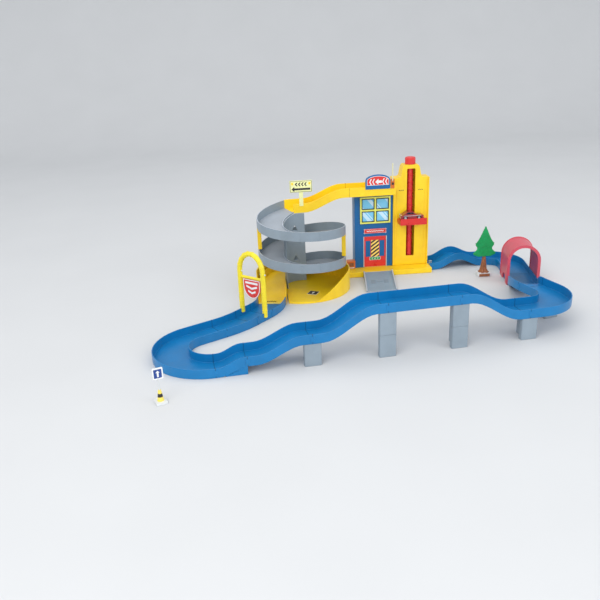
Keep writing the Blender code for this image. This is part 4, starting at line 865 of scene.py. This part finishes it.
class BuildingOperator(Step, bpy.types.Operator):
    """Mould the base, the tower's shells, the facade, the kiosk and the exit ramp"""

    bl_idname = "garage.building"
    bl_label = "Base, tower and facade"

    def execute(self, context):
        edge = sizes().edge
        for node in ("building_base", "tower_front", "tower_back"):
            moulding(node, "yellow", edge * 1.5)
        moulding("facade_wall", "facade")
        moulding("kiosk", "orange")
        moulding("track_tab", "grey", edge * 0.6)
        self.tower_face()
        self.facade_face()
        self.kiosk_front()
        self.ramp()
        return {'FINISHED'}

    def tower_face(self):
        """Guide ribs beside the lift's path and a small mark on each side of the slot."""
        low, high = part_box("tower_front")
        lift_low, lift_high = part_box("lift_platform")
        middle = (low.x + high.x) / 2
        gap = 0.0018
        mark_height = 0.267
        reach = (lift_high.x - lift_low.x) / 2 + gap
        ribs = [((x - 0.0009, -0.0013, low.z + 0.030), (x + 0.0009, 0.0004, low.z + 0.250))
                for x in (middle - reach, middle + reach)]
        blocks("tower_ribs", ribs, "yellow")
        marks = [chevron(0.0042, 0.0050, 0.0016, side * 0.031 + i * 0.0056, 0.0, way)
                 for side, way in ((-1, 90), (1, 270)) for i in (-1, 0, 1)]
        plates("tower_marks", marks, sizes().print_thick, facing(middle, 0, mark_height),
               "print_ink")

    def facade_face(self):
        """Shallow pilasters at the sides of the shop front and pale posts beside the door."""
        low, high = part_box("facade_wall")
        door_low, door_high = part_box("door_leaf")
        foot = low.z + 0.0004
        sunk = 0.0005
        pilasters = [((left, -0.0012, foot), (right, sunk, high.z - 0.0015))
                     for left, right in ((low.x + 0.0003, low.x + 0.0140),
                                         (high.x - 0.0092, high.x - 0.0003))]
        blocks("facade_pilasters", pilasters, "facade", edge=0.0004)
        posts = [((x, -0.0016, foot), (x + 0.0020, sunk, door_high.z + 0.0012))
                 for x in (door_low.x + 0.0015, door_high.x - 0.0035)]
        blocks("doorway_posts", posts, "pale", edge=0.0004)

    def kiosk_front(self):
        """An orange frame, a brown window, a pale shelf and a flat roof slab on the kiosk."""
        low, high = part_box("kiosk")
        wide = high.x - low.x
        height = high.z - low.z
        opening = [rounded(wide * 0.80, height * 0.62, 0.0022)]
        place = front_of("kiosk", low.z + height * 0.56)
        plates("kiosk_frame", opening, 0.0008, place, "orange", border=0.0016, edge=0.0002)
        plates("kiosk_window", opening, 0.0004, place, "barky", margin=0.0014)
        plates("kiosk_shelf", [rounded(wide * 0.72, 0.0030, 0.0008)], 0.0014,
               front_of("kiosk", low.z + 0.0040), "pale", edge=0.0003)
        blocks("kiosk_roof", [((low.x - 0.0010, low.y - 0.0016, high.z - 0.0022),
                               (high.x + 0.0001, high.y + 0.0010, high.z + 0.0008))],
               "orange", edge=0.0006)

    def ramp(self):
        """The exit ramp with raised rims, a sunk floor and grip pads."""
        # The exit ramp's floor takes the paler slope tone, painted light from above, and its wall
        # tops the pale rims, painted highlights.
        moulding("exit_ramp", "grey", panels=spiral_panels, extras=("slope", "lane_rim"))
        low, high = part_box("exit_ramp")
        middle = (low.x + high.x) / 2
        pads = [rounded(0.014, 0.0040, 0.0012, middle + x - 0.001 * i, y, 3)
                for i, y in enumerate((-0.118, -0.127, -0.136)) for x in (-0.020, 0.020)]
        pads.append(rounded(0.020, 0.0030, 0.0012, middle - 0.001, -0.127, 3))
        plates("ramp_grips", pads, 0.0009, Matrix.Identity(4), "grey", edge=0.0002,
               drape="exit_ramp")


class ShopWindowOperator(Step, bpy.types.Operator):
    """Fit the window: a sash, dark gaskets and four panes"""

    bl_idname = "garage.shop_window"
    bl_label = "Window"

    def execute(self, context):
        moulding("window_frame", "sash", 0.0006)
        low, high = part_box("window_frame")
        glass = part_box("window_glass")[0]
        bar = glass.x - low.x
        wide = (high.x - low.x - 3 * bar) / 2
        tall = (high.z - low.z - 3 * bar) / 2
        outlines = [rounded(wide, tall, 0.0036, column * (wide + bar) / 2, row * (tall + bar) / 2)
                    for column in (-1, 1) for row in (-1, 1)]
        place = facing((low.x + high.x) / 2, glass.y, (low.z + high.z) / 2)
        plates("window_gaskets", outlines, 0.0038, place, "rubber", border=0.0024, edge=0.0004)
        plates("window_panes", outlines, 0.0012, place, "pane", margin=0.0018)
        moulding("window_glass", "pane", 0.0003)
        return {'FINISHED'}


class DoorOperator(Step, bpy.types.Operator):
    """Mould the door and its hazard-striped middle"""

    bl_idname = "garage.door"
    bl_label = "Door"

    def execute(self, context):
        moulding("door_leaf", "red", 0.0004)
        low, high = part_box("door_leaf")
        front = low.y
        kick = low.z + 0.034
        head = high.z - 0.014
        plates("door_stripes", [rounded(0.0268, head - kick + 0.004, 0.0010)], 0.0003,
               front_of("door_leaf", (kick + head) / 2), "hazard", "door")
        y = -0.0022
        marks = [chevron(0.0050, 0.0058, 0.0018, x, y, 180) for x in (-0.009, 0.0, 0.009)]
        for name, shapes, thick, ink in (
                ("door_plate_rim", [rounded(0.0360, 0.0110, 0.0015, 0.0, y)], 0.0004, "white"),
                ("door_plate", [rounded(0.0340, 0.0090, 0.0012, 0.0, y)], 0.0007, "leaf"),
                ("door_plate_marks", marks, 0.0009, "white")):
            plates(name, shapes, thick, front_of("door_leaf", kick - 0.004), "print_" + ink, "door")
        for name, heights in (("door_ribs", (low.z, low.z + 0.0120)), ("door_head_rib", (head,))):
            rails = [((low.x + 0.0045, front - 0.0006, z + 0.0030),
                      (high.x - 0.0045, front + 0.0004, z + 0.0046)) for z in heights]
            blocks(name, rails, "red", "door")
        posts = [((x, front - 0.0005, kick), (x + 0.0014, front + 0.0006, head))
                 for x in (low.x + 0.0012, high.x - 0.0026)]
        blocks("door_side_strips", posts, "pale", "door")
        panes = [((low.x + 0.0030, front + 0.0010, kick - 0.004),
                  (high.x - 0.0030, high.y - 0.0008, head + 0.003))]
        blocks("door_panes", panes, "facade", "door", 0.0002)
        return {'FINISHED'}


class SignsOperator(Step, bpy.types.Operator):
    """Print the signs: plain borders, arrows and chevrons in place of any lettering"""

    bl_idname = "garage.signs"
    bl_label = "Signs"

    def execute(self, context):
        self.arched_sign()
        self.arrow_sign()
        self.welcome_board()
        self.gate_shield()
        self.floor_prints()
        return {'FINISHED'}

    def arched_sign(self):
        """The red arched sign on the roof, with chevrons and an arrow in a white border."""
        moulding("roof_sign", "facade", 0.0008)
        low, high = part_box("roof_sign")
        deck_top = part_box("roof_deck")[1].z
        half = (high.x - low.x) / 2
        rise = high.z - deck_top
        spring = deck_top + rise * 0.55
        middle = deck_top + rise * 0.42
        outline = [(-half, deck_top + 0.0008), (half, deck_top + 0.0008)]
        outline += arc(half, high.z - spring, spring, range(0, 181, 9))
        marks = [chevron(0.0085, 0.0190, 0.0036, x, middle, 180)
                 for x in (-0.0235, -0.0140, 0.0170, 0.0265)]
        marks.append(arrow(0.021, 0.0076, 0.0015, middle, 180))
        for row in (("arched_sign_border", [outline], 1, "white", 0.0042),
                    ("arched_sign_field", [outline], 2, "red", 0.0056),
                    ("arched_sign_marks", marks, 3, "white")):
            print_both(faces_of("roof_sign"), row)

    def arrow_sign(self):
        """The cream sign on its post, with an arrow under a row of chevrons."""
        moulding("arrow_sign", "print_cream", 0.0006)
        low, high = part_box("arrow_sign")
        wide = high.x - low.x
        tall = 0.036
        z = high.z - tall / 2
        pointer = arrow(wide * 0.84, 0.0062, 0.0, z - 0.0082, 180)
        bars = [chevron(0.0086, 0.0110, 0.0042, x, z + 0.0066, 180)
                for x in (-0.014, -0.0045, 0.005, 0.0145)]
        flags = [rounded(0.0060, 0.0072, 0.0008, side * wide * 0.385, z + 0.0085)
                 for side in (-1, 1)]
        whole = rounded(wide, tall, 0.002, 0.0, z)
        print_both(faces_of("arrow_sign", ARROW_SIGN_THICK),
                   ("arrow_sign_border", [whole], 1, "ink", 0.0014, 0.0010),
                   ("arrow_sign_arrow", [pointer], 1, "ink"),
                   ("arrow_sign_chevrons", bars, 1, "ink"),
                   ("arrow_sign_corners", flags, 1, "yellow"))

    def welcome_board(self):
        """The red board over the door, with a row of plain chevrons."""
        moulding("door_sign", "red", 0.0004)
        low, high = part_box("door_sign")
        place = front_of("door_sign")
        thick = sizes().print_thick
        plates("board_border", [rounded(high.x - low.x, high.z - low.z, 0.001)], thick, place,
               "print_white", margin=0.0012, border=0.0006)
        marks = [chevron(0.0052, 0.0078, 0.0024, i * 0.0080, 0.0, 270) for i in range(-3, 4)]
        plates("board_marks", marks, thick, place, "print_white")

    def gate_shield(self):
        """The red shield under the gate's bar: a white border, a bar and two chevrons."""
        moulding("gate_sign", "red", 0.0006)
        low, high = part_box("gate_sign")
        half = 0.030
        tall = high.z - low.z
        shoulder = high.z - tall * 0.35
        shield = [(-half, shoulder), (-half, high.z), (half, high.z), (half, shoulder)]
        shield += arc(half, -tall * 0.65, shoulder, range(12, 180, 12))
        marks = [rounded(0.0440, 0.0060, 0.0012, 0.0, high.z - 0.0105),
                 chevron(0.0120, 0.0380, 0.0058, 0.0, high.z - 0.0235, 270),
                 chevron(0.0110, 0.0260, 0.0054, 0.0, high.z - 0.0370, 270)]
        print_both(turned_faces(*plan_axis(points_of("gate_sign")), GATE_SIGN_THICK),
                   ("shield_border", [shield], 1, "white", 0.0008, 0.0022),
                   ("shield_marks", marks, 1, "white"))

    def floor_prints(self):
        """A dark bay mark on the round base and a row of chevrons at the road's end."""
        thick = sizes().print_thick
        bay = [rounded(0.030, 0.030, 0.0015)]
        for name, shapes, layers, ink, margin in (
                ("bay_mark_border", bay, 1, "white", 0.0), ("bay_mark", bay, 1.7, "ink", 0.0010),
                ("bay_mark_arrow", [arrow(0.016, 0.0042, 0, 0, 90)], 2.6, "white", 0.0)):
            plates(name, shapes, thick * layers, lying(*BAY_MARK), "print_" + ink, margin=margin,
                   drape="round_base")
        x, y, angle, half = seam("exit_road", "track_adapter")[:4]
        if abs(angle) > 90:
            angle += 180
        row = [chevron(0.0100, 0.0052, 0.0040, i * 0.0060 - 0.004, 0.0190, 270)
               for i in range(-2, 3)]
        reach = half * 0.86
        lip = [(-reach, 0.0037), (reach, 0.0037), (reach, 0.0067), (-reach, 0.0067)]
        for name, shapes, layers, ink in (("road_marks", row, 1, "ink"),
                                          ("road_lip", [lip], 1.5, "cream")):
            plates(name, shapes, thick * layers, lying(x, y, angle), "print_" + ink,
                   drape="exit_road")


class LiftOperator(Step, bpy.types.Operator):
    """Cut the screw's thread, flute the knob and mould the platform"""

    bl_idname = "garage.lift"
    bl_label = "Lift"

    def execute(self, context):
        self.screw()
        self.knob()
        self.platform()
        return {'FINISHED'}

    def screw(self):
        """A plain core, a spindle and a left-hand thread, which lifts as the screw turns."""
        low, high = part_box("lift_screw")
        centre = standing("lift_screw")
        crest = (high.x - low.x) / 2
        root = sizes().thread_root
        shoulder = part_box("tower_front")[1].z - 0.0035
        soft = 0.0006
        band = 0.0040
        neck = 0.0052
        spindle = 0.0039
        body = spun([(0.0, low.z), (crest - soft, low.z), (crest, low.z + soft),
                     (crest, low.z + band), (root, low.z + neck), (root, shoulder - neck),
                     (crest, shoulder - band), (crest, shoulder - soft), (crest - soft, shoulder),
                     (spindle, shoulder), (spindle, high.z - 0.0004),
                     (spindle - 0.0004, high.z), (0.0, high.z)], 40)
        item = gather("lift_screw_core", [(body, centre)], "red", "screw")
        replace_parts(item, "lift_screw")
        lead = sizes().thread_lead
        start = low.z + band
        run = shoulder - band - start
        turns = run / lead
        steps = round(turns * 28)
        bm = bmesh.new()
        inner = root - 0.0006
        half = 0.0040
        profile = [(inner, -half), (crest, -half * 0.45), (crest, half * 0.45), (inner, half)]
        verts = [bm.verts.new((radius, 0, start + height)) for radius, height in profile]
        face = bm.faces.new(verts)
        bmesh.ops.spin(bm, geom=[face], axis=(0, 0, 1), cent=(0, 0, 0), dvec=(0, 0, run / steps),
                       angle=-2 * math.pi * turns, steps=steps)
        bmesh.ops.recalc_face_normals(bm, faces=bm.faces)
        gather("lift_thread", [(bm, centre)], "red", "screw")

    def knob(self):
        """A fluted cap with a rounded crown and a shallow dish."""
        low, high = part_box("lift_knob")
        radius = (high.x - low.x) / 2
        ribs = 12
        around = ribs * 10
        bm = bmesh.new()
        points = []
        for i in range(around):
            angle = 2 * math.pi * i / around
            wave = (1 - math.cos(ribs * angle)) / 2
            reach = radius - sizes().knob_flute * wave
            points.append(bm.verts.new((reach * math.cos(angle), reach * math.sin(angle), low.z)))
        face = bm.faces.new(points)
        grown = bmesh.ops.extrude_face_region(bm, geom=[face], use_keep_orig=True)["geom"]
        top = next(part for part in grown if isinstance(part, bmesh.types.BMFace))
        height = high.z - low.z
        bmesh.ops.translate(bm, vec=(0, 0, height * 0.80), verts=top.verts)
        bmesh.ops.recalc_face_normals(bm, faces=bm.faces)
        for share, rise in ((0.97, 0.08), (0.93, 0.07), (0.86, 0.05), (0.80, 0.0), (0.90, -0.04)):
            top = bmesh.ops.extrude_discrete_faces(bm, faces=[top])["faces"][0]
            bmesh.ops.scale(bm, vec=(share, share, 1.0), verts=top.verts)
            bmesh.ops.translate(bm, vec=(0, 0, height * rise), verts=top.verts)
        bmesh.ops.recalc_face_normals(bm, faces=bm.faces)
        item = gather("lift_knob_cap", [(bm, standing("lift_knob"))], "red", "screw")
        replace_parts(item, "lift_knob")

    def platform(self):
        """The shelf with a ribbed floor and a ridge along its lip."""
        moulding("lift_platform", "red", sizes().edge * 1.3)
        low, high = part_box("lift_platform")
        step = (high.x - low.x - 0.020) / 6
        ribs = [((x - 0.0010, low.y + 0.006, PLATFORM_FLOOR - 0.0004),
                 (x + 0.0010, -0.0060, PLATFORM_FLOOR + 0.00018))
                for x in (low.x + 0.010 + i * step for i in range(7))]
        blocks("platform_ribs", ribs, "red", "platform", 0.0001)
        lip = [((low.x + 0.004, low.y - 0.0004, low.z + 0.0052),
                (high.x - 0.004, low.y + 0.0006, low.z + 0.0066))]
        blocks("platform_lip_line", lip, "red", "platform", 0.0002)


class RoofOperator(Step, bpy.types.Operator):
    """Mould the roof deck, the chute and the barrier"""

    bl_idname = "garage.roof"
    bl_label = "Roof deck, chute and barrier"

    def execute(self, context):
        for node in ("roof_deck", "roof_chute"):
            moulding(node, "yellow", panels=lane_panels)
        # A dark line of painted shadow at the seam of the deck and the chute.
        seam_shadow_line("deck_seam", "roof_deck", "roof_chute", "yellow_seam")
        moulding("barrier_post", "orange", 0.0007)
        moulding("barrier_arm", "cream", 0.0006)
        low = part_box("barrier_post")[0]
        plates("barrier_label", [rounded(0.0070, 0.0075, 0.001)], sizes().print_thick,
               front_of("barrier_post", low.z + 0.0145), "print_ink")
        arm_low, arm_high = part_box("barrier_arm")
        x = (arm_low.x + arm_high.x) / 2
        y = (arm_low.y + arm_high.y) / 2
        blocks("barrier_rib", [((x - 0.0009, y - 0.0025, arm_low.z + 0.012),
                                (x + 0.0009, y + 0.0025, arm_high.z - 0.0012))],
               "cream", "barrier")
        return {'FINISHED'}


class SpiralOperator(Step, bpy.types.Operator):
    """Mould the spiral's turns, its core, the posts, the round base and the exit road"""

    bl_idname = "garage.spiral"
    bl_label = "Spiral ramp"

    def execute(self, context):
        edge = sizes().edge
        for node in ("ramp_upper", "ramp_lower"):
            # Paler floors, painted light from above, and pale wall rims, painted highlights.
            moulding(node, "grey", panels=spiral_panels, extras=("lane", "lane_rim"))
        moulding("spiral_core", "grey", edge * 0.8)
        for node in ("post_left", "post_right"):
            moulding(node, "yellow", edge * 1.4)
        moulding("round_base", "yellow", edge * 1.2)
        moulding("exit_road", "yellow", panels=lane_panels)
        self.wall_ribs()
        return {'FINISHED'}

    def wall_ribs(self):
        """Upright ribs on the ramp's outer wall, where its mould closed."""
        low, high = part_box("ramp_upper")
        x = (low.x + high.x) / 2
        y = (low.y + high.y) / 2
        radius = (high.x - low.x) / 2
        wall = points_of("ramp_upper") + points_of("ramp_lower")
        parts = []
        for angle in (264.0, 288.0):
            turn = math.radians(angle)
            spot = Vector((x + radius * math.cos(turn), y + radius * math.sin(turn)))
            near = [point.z for point in wall if (point.xy - spot).length < 0.0006]
            for bottom in (min(near), max(near) - 0.028):
                bm = bmesh.new()
                block(bm, (-0.0006, -0.0008, bottom + 0.0022), (0.0007, 0.0008, bottom + 0.0255))
                bevel_edges(bm, list(bm.edges), 0.0003)
                parts.append((bm, lying(spot.x, spot.y, angle)))
        gather("spiral_ribs", parts, "grey")


class TrackOperator(Step, bpy.types.Operator):
    """Mould the track pieces, the blocks under them and the tabs across their seams"""

    bl_idname = "garage.track"
    bl_label = "Track and pillars"

    def execute(self, context):
        for node in TRACKS:
            moulding(node, "track", panels=lane_panels)
        for node in PILLARS:
            moulding(node, "grey", sizes().edge * 1.3)
        for i, (first, second) in enumerate(zip(TRACKS, TRACKS[1:])):
            # A dark line of painted shadow round each seam, and tabs on its walls.
            seam_shadow_line(f"track_seam_{i:02d}", first, second, "track_seam")
            self.tabs(i, first, second)
        # A dark line of painted shadow at the seam of the road and the track.
        seam_shadow_line("road_seam", "exit_road", "track_adapter", "yellow_seam")
        return {'FINISHED'}

    def tabs(self, number, first, second):
        """Small tabs that hold two pieces together, one on each wall."""
        x, y, angle, half, low, high = seam(first, second)
        boxes = [((wall - 0.0009, -0.0048, low + 0.0050), (wall + 0.0009, 0.0048, high - 0.0055))
                 for wall in (-half, half)]
        blocks(f"track_tabs_{number:02d}", boxes, "track", edge=0.0004, place=lying(x, y, angle))


class TunnelOperator(Step, bpy.types.Operator):
    """Mould the tunnel with its raised mouths"""

    bl_idname = "garage.tunnel"
    bl_label = "Tunnel"

    def execute(self, context):
        moulding("tunnel", "tunnel", sizes().edge * 1.4, self.panels)
        return {'FINISHED'}

    def panels(self, bm):
        """Sink the outside of the arch between its two mouths."""
        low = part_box("tunnel")[0]
        x, y = plan_axis(points_of("tunnel"))[:2]
        bm.normal_update()
        middle = Vector((x, y, low.z))
        smallest = 0.0003
        inside = 0.030
        border = 0.006
        depth = 0.0009
        outer = [face for face in bm.faces if face.calc_area() >= smallest
                 and (face.calc_center_median() - middle).dot(face.normal) > inside]
        sink_panels(bm, outer, border, depth)


class GateOperator(Step, bpy.types.Operator):
    """Mould the gate, the rings along its tube and the pins through its legs"""

    bl_idname = "garage.gate"
    bl_label = "Gate"

    def execute(self, context):
        moulding("gate_arch", "lemon", 0.0003)
        low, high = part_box("gate_arch")
        stand = lying(*plan_axis(points_of("gate_arch")))
        spring = high.z - GATE_TUBE - GATE_RISE
        first = low.z + 0.020
        bar_gap = 0.008
        rings = []
        step = sizes().ring_spacing
        for side in (-1, 1):
            for i in range(int((spring - first) / step) + 1):
                z = first + i * step
                if abs(z - GATE_BAR_HEIGHT) > bar_gap:
                    rings.append((ring(GATE_TUBE, GATE_RING),
                                  stand @ Matrix.Translation((side * GATE_HALF, 0, z))))
        for i in range(1, 9):
            turn = math.pi * i / 9
            along = math.atan2(-math.sin(turn) * GATE_HALF, math.cos(turn) * GATE_RISE)
            spot = Matrix.Translation((math.cos(turn) * GATE_HALF, 0,
                                       spring + math.sin(turn) * GATE_RISE))
            rings.append((ring(GATE_TUBE, GATE_RING),
                          stand @ spot @ Matrix.Rotation(along, 4, 'Y')))
        gather("gate_rings", rings, "lemon")
        pins = []
        half = GATE_TUBE + 0.0024
        for side in (-1, 1):
            pin = spun([(0.0, -half), (0.0014, -half), (0.0021, -half + 0.0007),
                        (0.0021, half - 0.0007), (0.0014, half), (0.0, half)], 16)
            pins.append((pin, stand @ Matrix.Translation((side * GATE_HALF, 0, spring - 0.001))
                         @ Matrix.Rotation(math.pi / 2, 4, 'Y')))
        gather("gate_pins", pins, "pale")
        return {'FINISHED'}


class TreeOperator(Step, bpy.types.Operator):
    """Make the tree: needles in tiers, a fluted trunk and a pale stand with a brown front"""

    bl_idname = "garage.tree"
    bl_label = "Tree"

    def execute(self, context):
        moulding("tree_foliage", "leafy", 0.0007)
        moulding("tree_stand", "pale", 0.0012)
        self.boughs()
        self.trunk()
        return {'FINISHED'}

    def boughs(self):
        """Raised boughs on both faces of the flat tree, which droop from its middle."""
        tip = 0.0014
        thick = 0.0034
        outlines = []
        for height, reach, fall in ((0.118, 0.030, 0.010), (0.102, 0.022, 0.012),
                                    (0.084, 0.016, 0.012), (0.134, 0.014, 0.010),
                                    (0.146, 0.008, 0.008)):
            outlines.append([(0.0, height), (-reach, height - fall), (-reach, height - fall - tip),
                             (0.0, height - thick), (reach, height - fall - tip),
                             (reach, height - fall)])
        for side, place in zip(("front", "back"), faces_of("tree_foliage")):
            plates("tree_boughs_" + side, outlines, 0.0007, place, "leafy", edge=0.0003)

    def trunk(self):
        """A trunk with roots that flare into the stand, and the stand's brown front."""
        low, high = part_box("tree_stand")
        middle = (low + high) / 2
        foot = TREE_STAND_TOP - 0.0004
        around = 40
        bm = bmesh.new()
        loops = []
        for share in (0.0, 0.06, 0.16, 0.34, 0.62, 1.0):
            z = foot + (high.z - foot) * share
            flare = 0.0058 * (1 - share) + 0.0052 + 0.0042 * max(0.0, 1 - share * 4) ** 2
            made = bmesh.ops.create_circle(bm, segments=around, radius=flare)["verts"]
            for i, vert in enumerate(made):
                depth = 0.16 * (1 - share) ** 1.5 + 0.04
                root = 1 + depth * math.cos(5 * 2 * math.pi * i / around)
                vert.co = Vector((vert.co.x * root, vert.co.y * root, z))
            loops.append([edge for edge in bm.edges if all(v in made for v in edge.verts)])
        for lower, upper in zip(loops, loops[1:]):
            bmesh.ops.bridge_loops(bm, edges=lower + upper)
        bmesh.ops.contextual_create(bm, geom=loops[0])
        bmesh.ops.contextual_create(bm, geom=loops[-1])
        bmesh.ops.recalc_face_normals(bm, faces=bm.faces)
        gather("tree_trunk", [(bm, Matrix.Translation((middle.x, middle.y, 0)))], "barky")
        plates("tree_stand_front", [rounded(0.0340, 0.0085, 0.0012)], 0.0008,
               facing(middle.x, low.y, 0.0056), "barky", edge=0.0003)
        soil = [rounded(0.0330, 0.0185, 0.0030)]
        plates("tree_stand_soil", soil, 0.0009, lying(middle.x, middle.y, z=TREE_STAND_TOP),
               "barky", edge=0.0004)


class StreetSignOperator(Step, bpy.types.Operator):
    """Make the street sign: square foot, banded cone, pole and plate"""

    bl_idname = "garage.street_sign"
    bl_label = "Street sign"

    def execute(self, context):
        moulding("street_sign_base", "cone", 0.0005)
        moulding("street_sign_plate", "pale", 0.0004)
        low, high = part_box("street_sign_plate")
        wide, tall = STREET_PLATE
        z = high.z - tall / 2
        whole = rounded(wide, tall, 0.0020, 0.0, z)
        field = rounded(wide - 0.0062, tall - 0.0062, 0.0010, 0.0, z)
        print_both(turned_faces((low.x + high.x) / 2, (low.y + high.y) / 2, STREET_TURN,
                                STREET_PLATE_THICK),
                   ("street_plate_border", [whole], 1, "white", 0.0004),
                   ("street_plate_field", [field], 2, "sign_blue"),
                   ("street_plate_arrow", [arrow(0.0150, 0.0036, 0.0, z, 90)], 3, "white"))
        return {'FINISHED'}


class CarOperator(Step, bpy.types.Operator):
    """Shape the car on the lift: body, glass, lamps, bumpers and wheels"""

    bl_idname = "garage.car"
    bl_label = "Car"

    def execute(self, context):
        self.low, self.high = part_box("car_body")
        self.middle = (self.low + self.high) / 2
        self.shell()
        moulding("car_chassis", "rubber", 0.0003)
        self.trim()
        self.wheels()
        return {'FINISHED'}

    def waist(self, bm):
        """Draw the cabin in above the belt and round the nose and tail in plan."""
        low, high, middle = self.low, self.high, self.middle
        belt = low.z + (high.z - low.z) * 0.58
        bend = 0.72
        for vert in bm.verts:
            rise = max(0.0, (vert.co.z - belt) / (high.z - belt))
            along = abs(vert.co.x - middle.x) / (high.x - middle.x)
            tuck = 1.0 - 0.22 * rise - 0.16 * max(0.0, along - bend) / (1.0 - bend)
            vert.co.y = middle.y + (vert.co.y - middle.y) * tuck

    def shell(self):
        """The painted body, with every edge rounded."""
        bm = merged_copy("car_body")
        self.waist(bm)
        bevel_edges(bm, sharp_edges(bm, 0.35, 0.0018), 0.0009, 3)
        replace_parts(add_piece("car_shell", bm, "paint", "car", 0.75), "car_body")

    def trim(self):
        """Side windows, side strips, lamps and bumpers."""
        low, high, middle = self.low, self.high, self.middle
        tall = high.z - low.z
        belt = low.z + tall * 0.60
        roof = high.z - tall * 0.09
        half = (high.y - low.y) / 2
        panes = [[(-0.0215, belt), (-0.0055, belt), (-0.0055, roof), (-0.0150, roof)],
                 [(-0.0040, belt), (0.0090, belt), (0.0010, roof), (-0.0040, roof)]]
        strip = [rounded(0.0560, 0.0014, 0.0006, 0.0, low.z + tall * 0.44)]
        for name, flip, turn in (("near", 1, 0.0), ("far", -1, 180.0)):
            shapes = [[(flip * x, z) for x, z in points] for points in panes]
            for part, outlines, thick, share, material, sink in (
                    ("car_side_glass_", shapes, 0.0006, 0.895, "smoke", 0.0012),
                    ("car_side_strip_", strip, 0.0003, 1.0, "chrome", 0.0008)):
                place = facing(middle.x, middle.y - flip * half * share, 0, turn)
                plates(part + name, outlines, thick, place, material, "car", sink=sink)
        for name, material, start, end, reach, foot, top in (
                ("car_head_lamps", "clear", low.x + 0.0001, low.x + 0.0026, 0.0030, 0.42, 0.56),
                ("car_tail_lamps", "red", high.x - 0.0022, high.x - 0.0001, 0.0032, 0.34, 0.45)):
            lamps = [((start, y - reach, low.z + tall * foot), (end, y + reach, low.z + tall * top))
                     for y in (middle.y - half * 0.60, middle.y + half * 0.60)]
            blocks(name, lamps, material, "car", 0.0005)
        bars = [((x, middle.y - half * 0.80, low.z + 0.0012),
                 (x + 0.0030, middle.y + half * 0.80, low.z + 0.0046))
                for x in (low.x, high.x - 0.0030)]
        blocks("car_bumpers", bars, "chrome", "car", 0.0008)

    def wheels(self):
        """Tyres with a groove round the tread, and dished hubs on a thin axle."""
        for node, body in (("car_front_axle", "front_wheels"), ("car_rear_axle", "rear_wheels")):
            low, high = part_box(node)
            radius = (high.x - low.x) / 2
            middle = (low + high) / 2
            reach = (high.y - low.y) / 2
            tyres = []
            hubs = []
            for side in (-1, 1):
                place = (Matrix.Translation((middle.x, middle.y + side * reach, middle.z))
                         @ Matrix.Rotation(side * math.pi / 2, 4, 'X'))
                for parts, profile, steps in ((tyres, TYRE, 32), (hubs, HUB, 30)):
                    parts.append((spun([(radius * share, y) for share, y in profile], steps),
                                  place))
            run = reach * 2 - 0.004
            axle = spun([(0.0, 0.0), (0.0012, 0.0), (0.0012, run), (0.0, run)], 12)
            hubs.append((axle, Matrix.Translation((middle.x, middle.y - reach + 0.002, middle.z))
                         @ Matrix.Rotation(-math.pi / 2, 4, 'X')))
            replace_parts(gather(body + "_tyres", tyres, "rubber", body), node)
            gather(body + "_hubs", hubs, "chrome", body)


class GaragePanel(bpy.types.Panel):
    """Lists the pieces, their sizes and their colours"""

    bl_idname = "GARAGE_PT_pieces"
    bl_label = "Toy parking garage"
    bl_space_type = 'VIEW_3D'
    bl_region_type = 'UI'
    bl_category = "Garage"

    def draw(self, context):
        for operator in OPERATORS:
            self.layout.operator(operator.bl_idname)
        for group in (context.scene.garage_sizes, context.scene.garage_colours):
            box = self.layout.box()
            for name in group.__annotations__:
                box.prop(group, name)


OPERATORS = (StageOperator, BuildingOperator, ShopWindowOperator, DoorOperator, SignsOperator,
             LiftOperator, RoofOperator, SpiralOperator, TrackOperator, TunnelOperator,
             GateOperator, TreeOperator, StreetSignOperator, CarOperator)
CLASSES = (GarageSizes, GarageColours, *OPERATORS, GaragePanel)


def register():
    for item in CLASSES:
        bpy.utils.register_class(item)
    bpy.types.Scene.garage_sizes = bpy.props.PointerProperty(type=GarageSizes)
    bpy.types.Scene.garage_colours = bpy.props.PointerProperty(type=GarageColours)


def unregister():
    del bpy.types.Scene.garage_colours
    del bpy.types.Scene.garage_sizes
    for item in reversed(CLASSES):
        bpy.utils.unregister_class(item)


def main():
    """Dress the garage piece by piece."""
    register()
    for item in list(bpy.data.objects):
        if item.type in {'CAMERA', 'LIGHT'}:
            bpy.data.objects.remove(item, do_unlink=True)
    make_materials()
    bpy.ops.garage.stage()
    bpy.ops.garage.building()
    bpy.ops.garage.shop_window()
    bpy.ops.garage.door()
    bpy.ops.garage.signs()
    bpy.ops.garage.lift()
    bpy.ops.garage.roof()
    bpy.ops.garage.spiral()
    bpy.ops.garage.track()
    bpy.ops.garage.tunnel()
    bpy.ops.garage.gate()
    bpy.ops.garage.tree()
    bpy.ops.garage.street_sign()
    bpy.ops.garage.car()


if __name__ == "__main__":
    main()
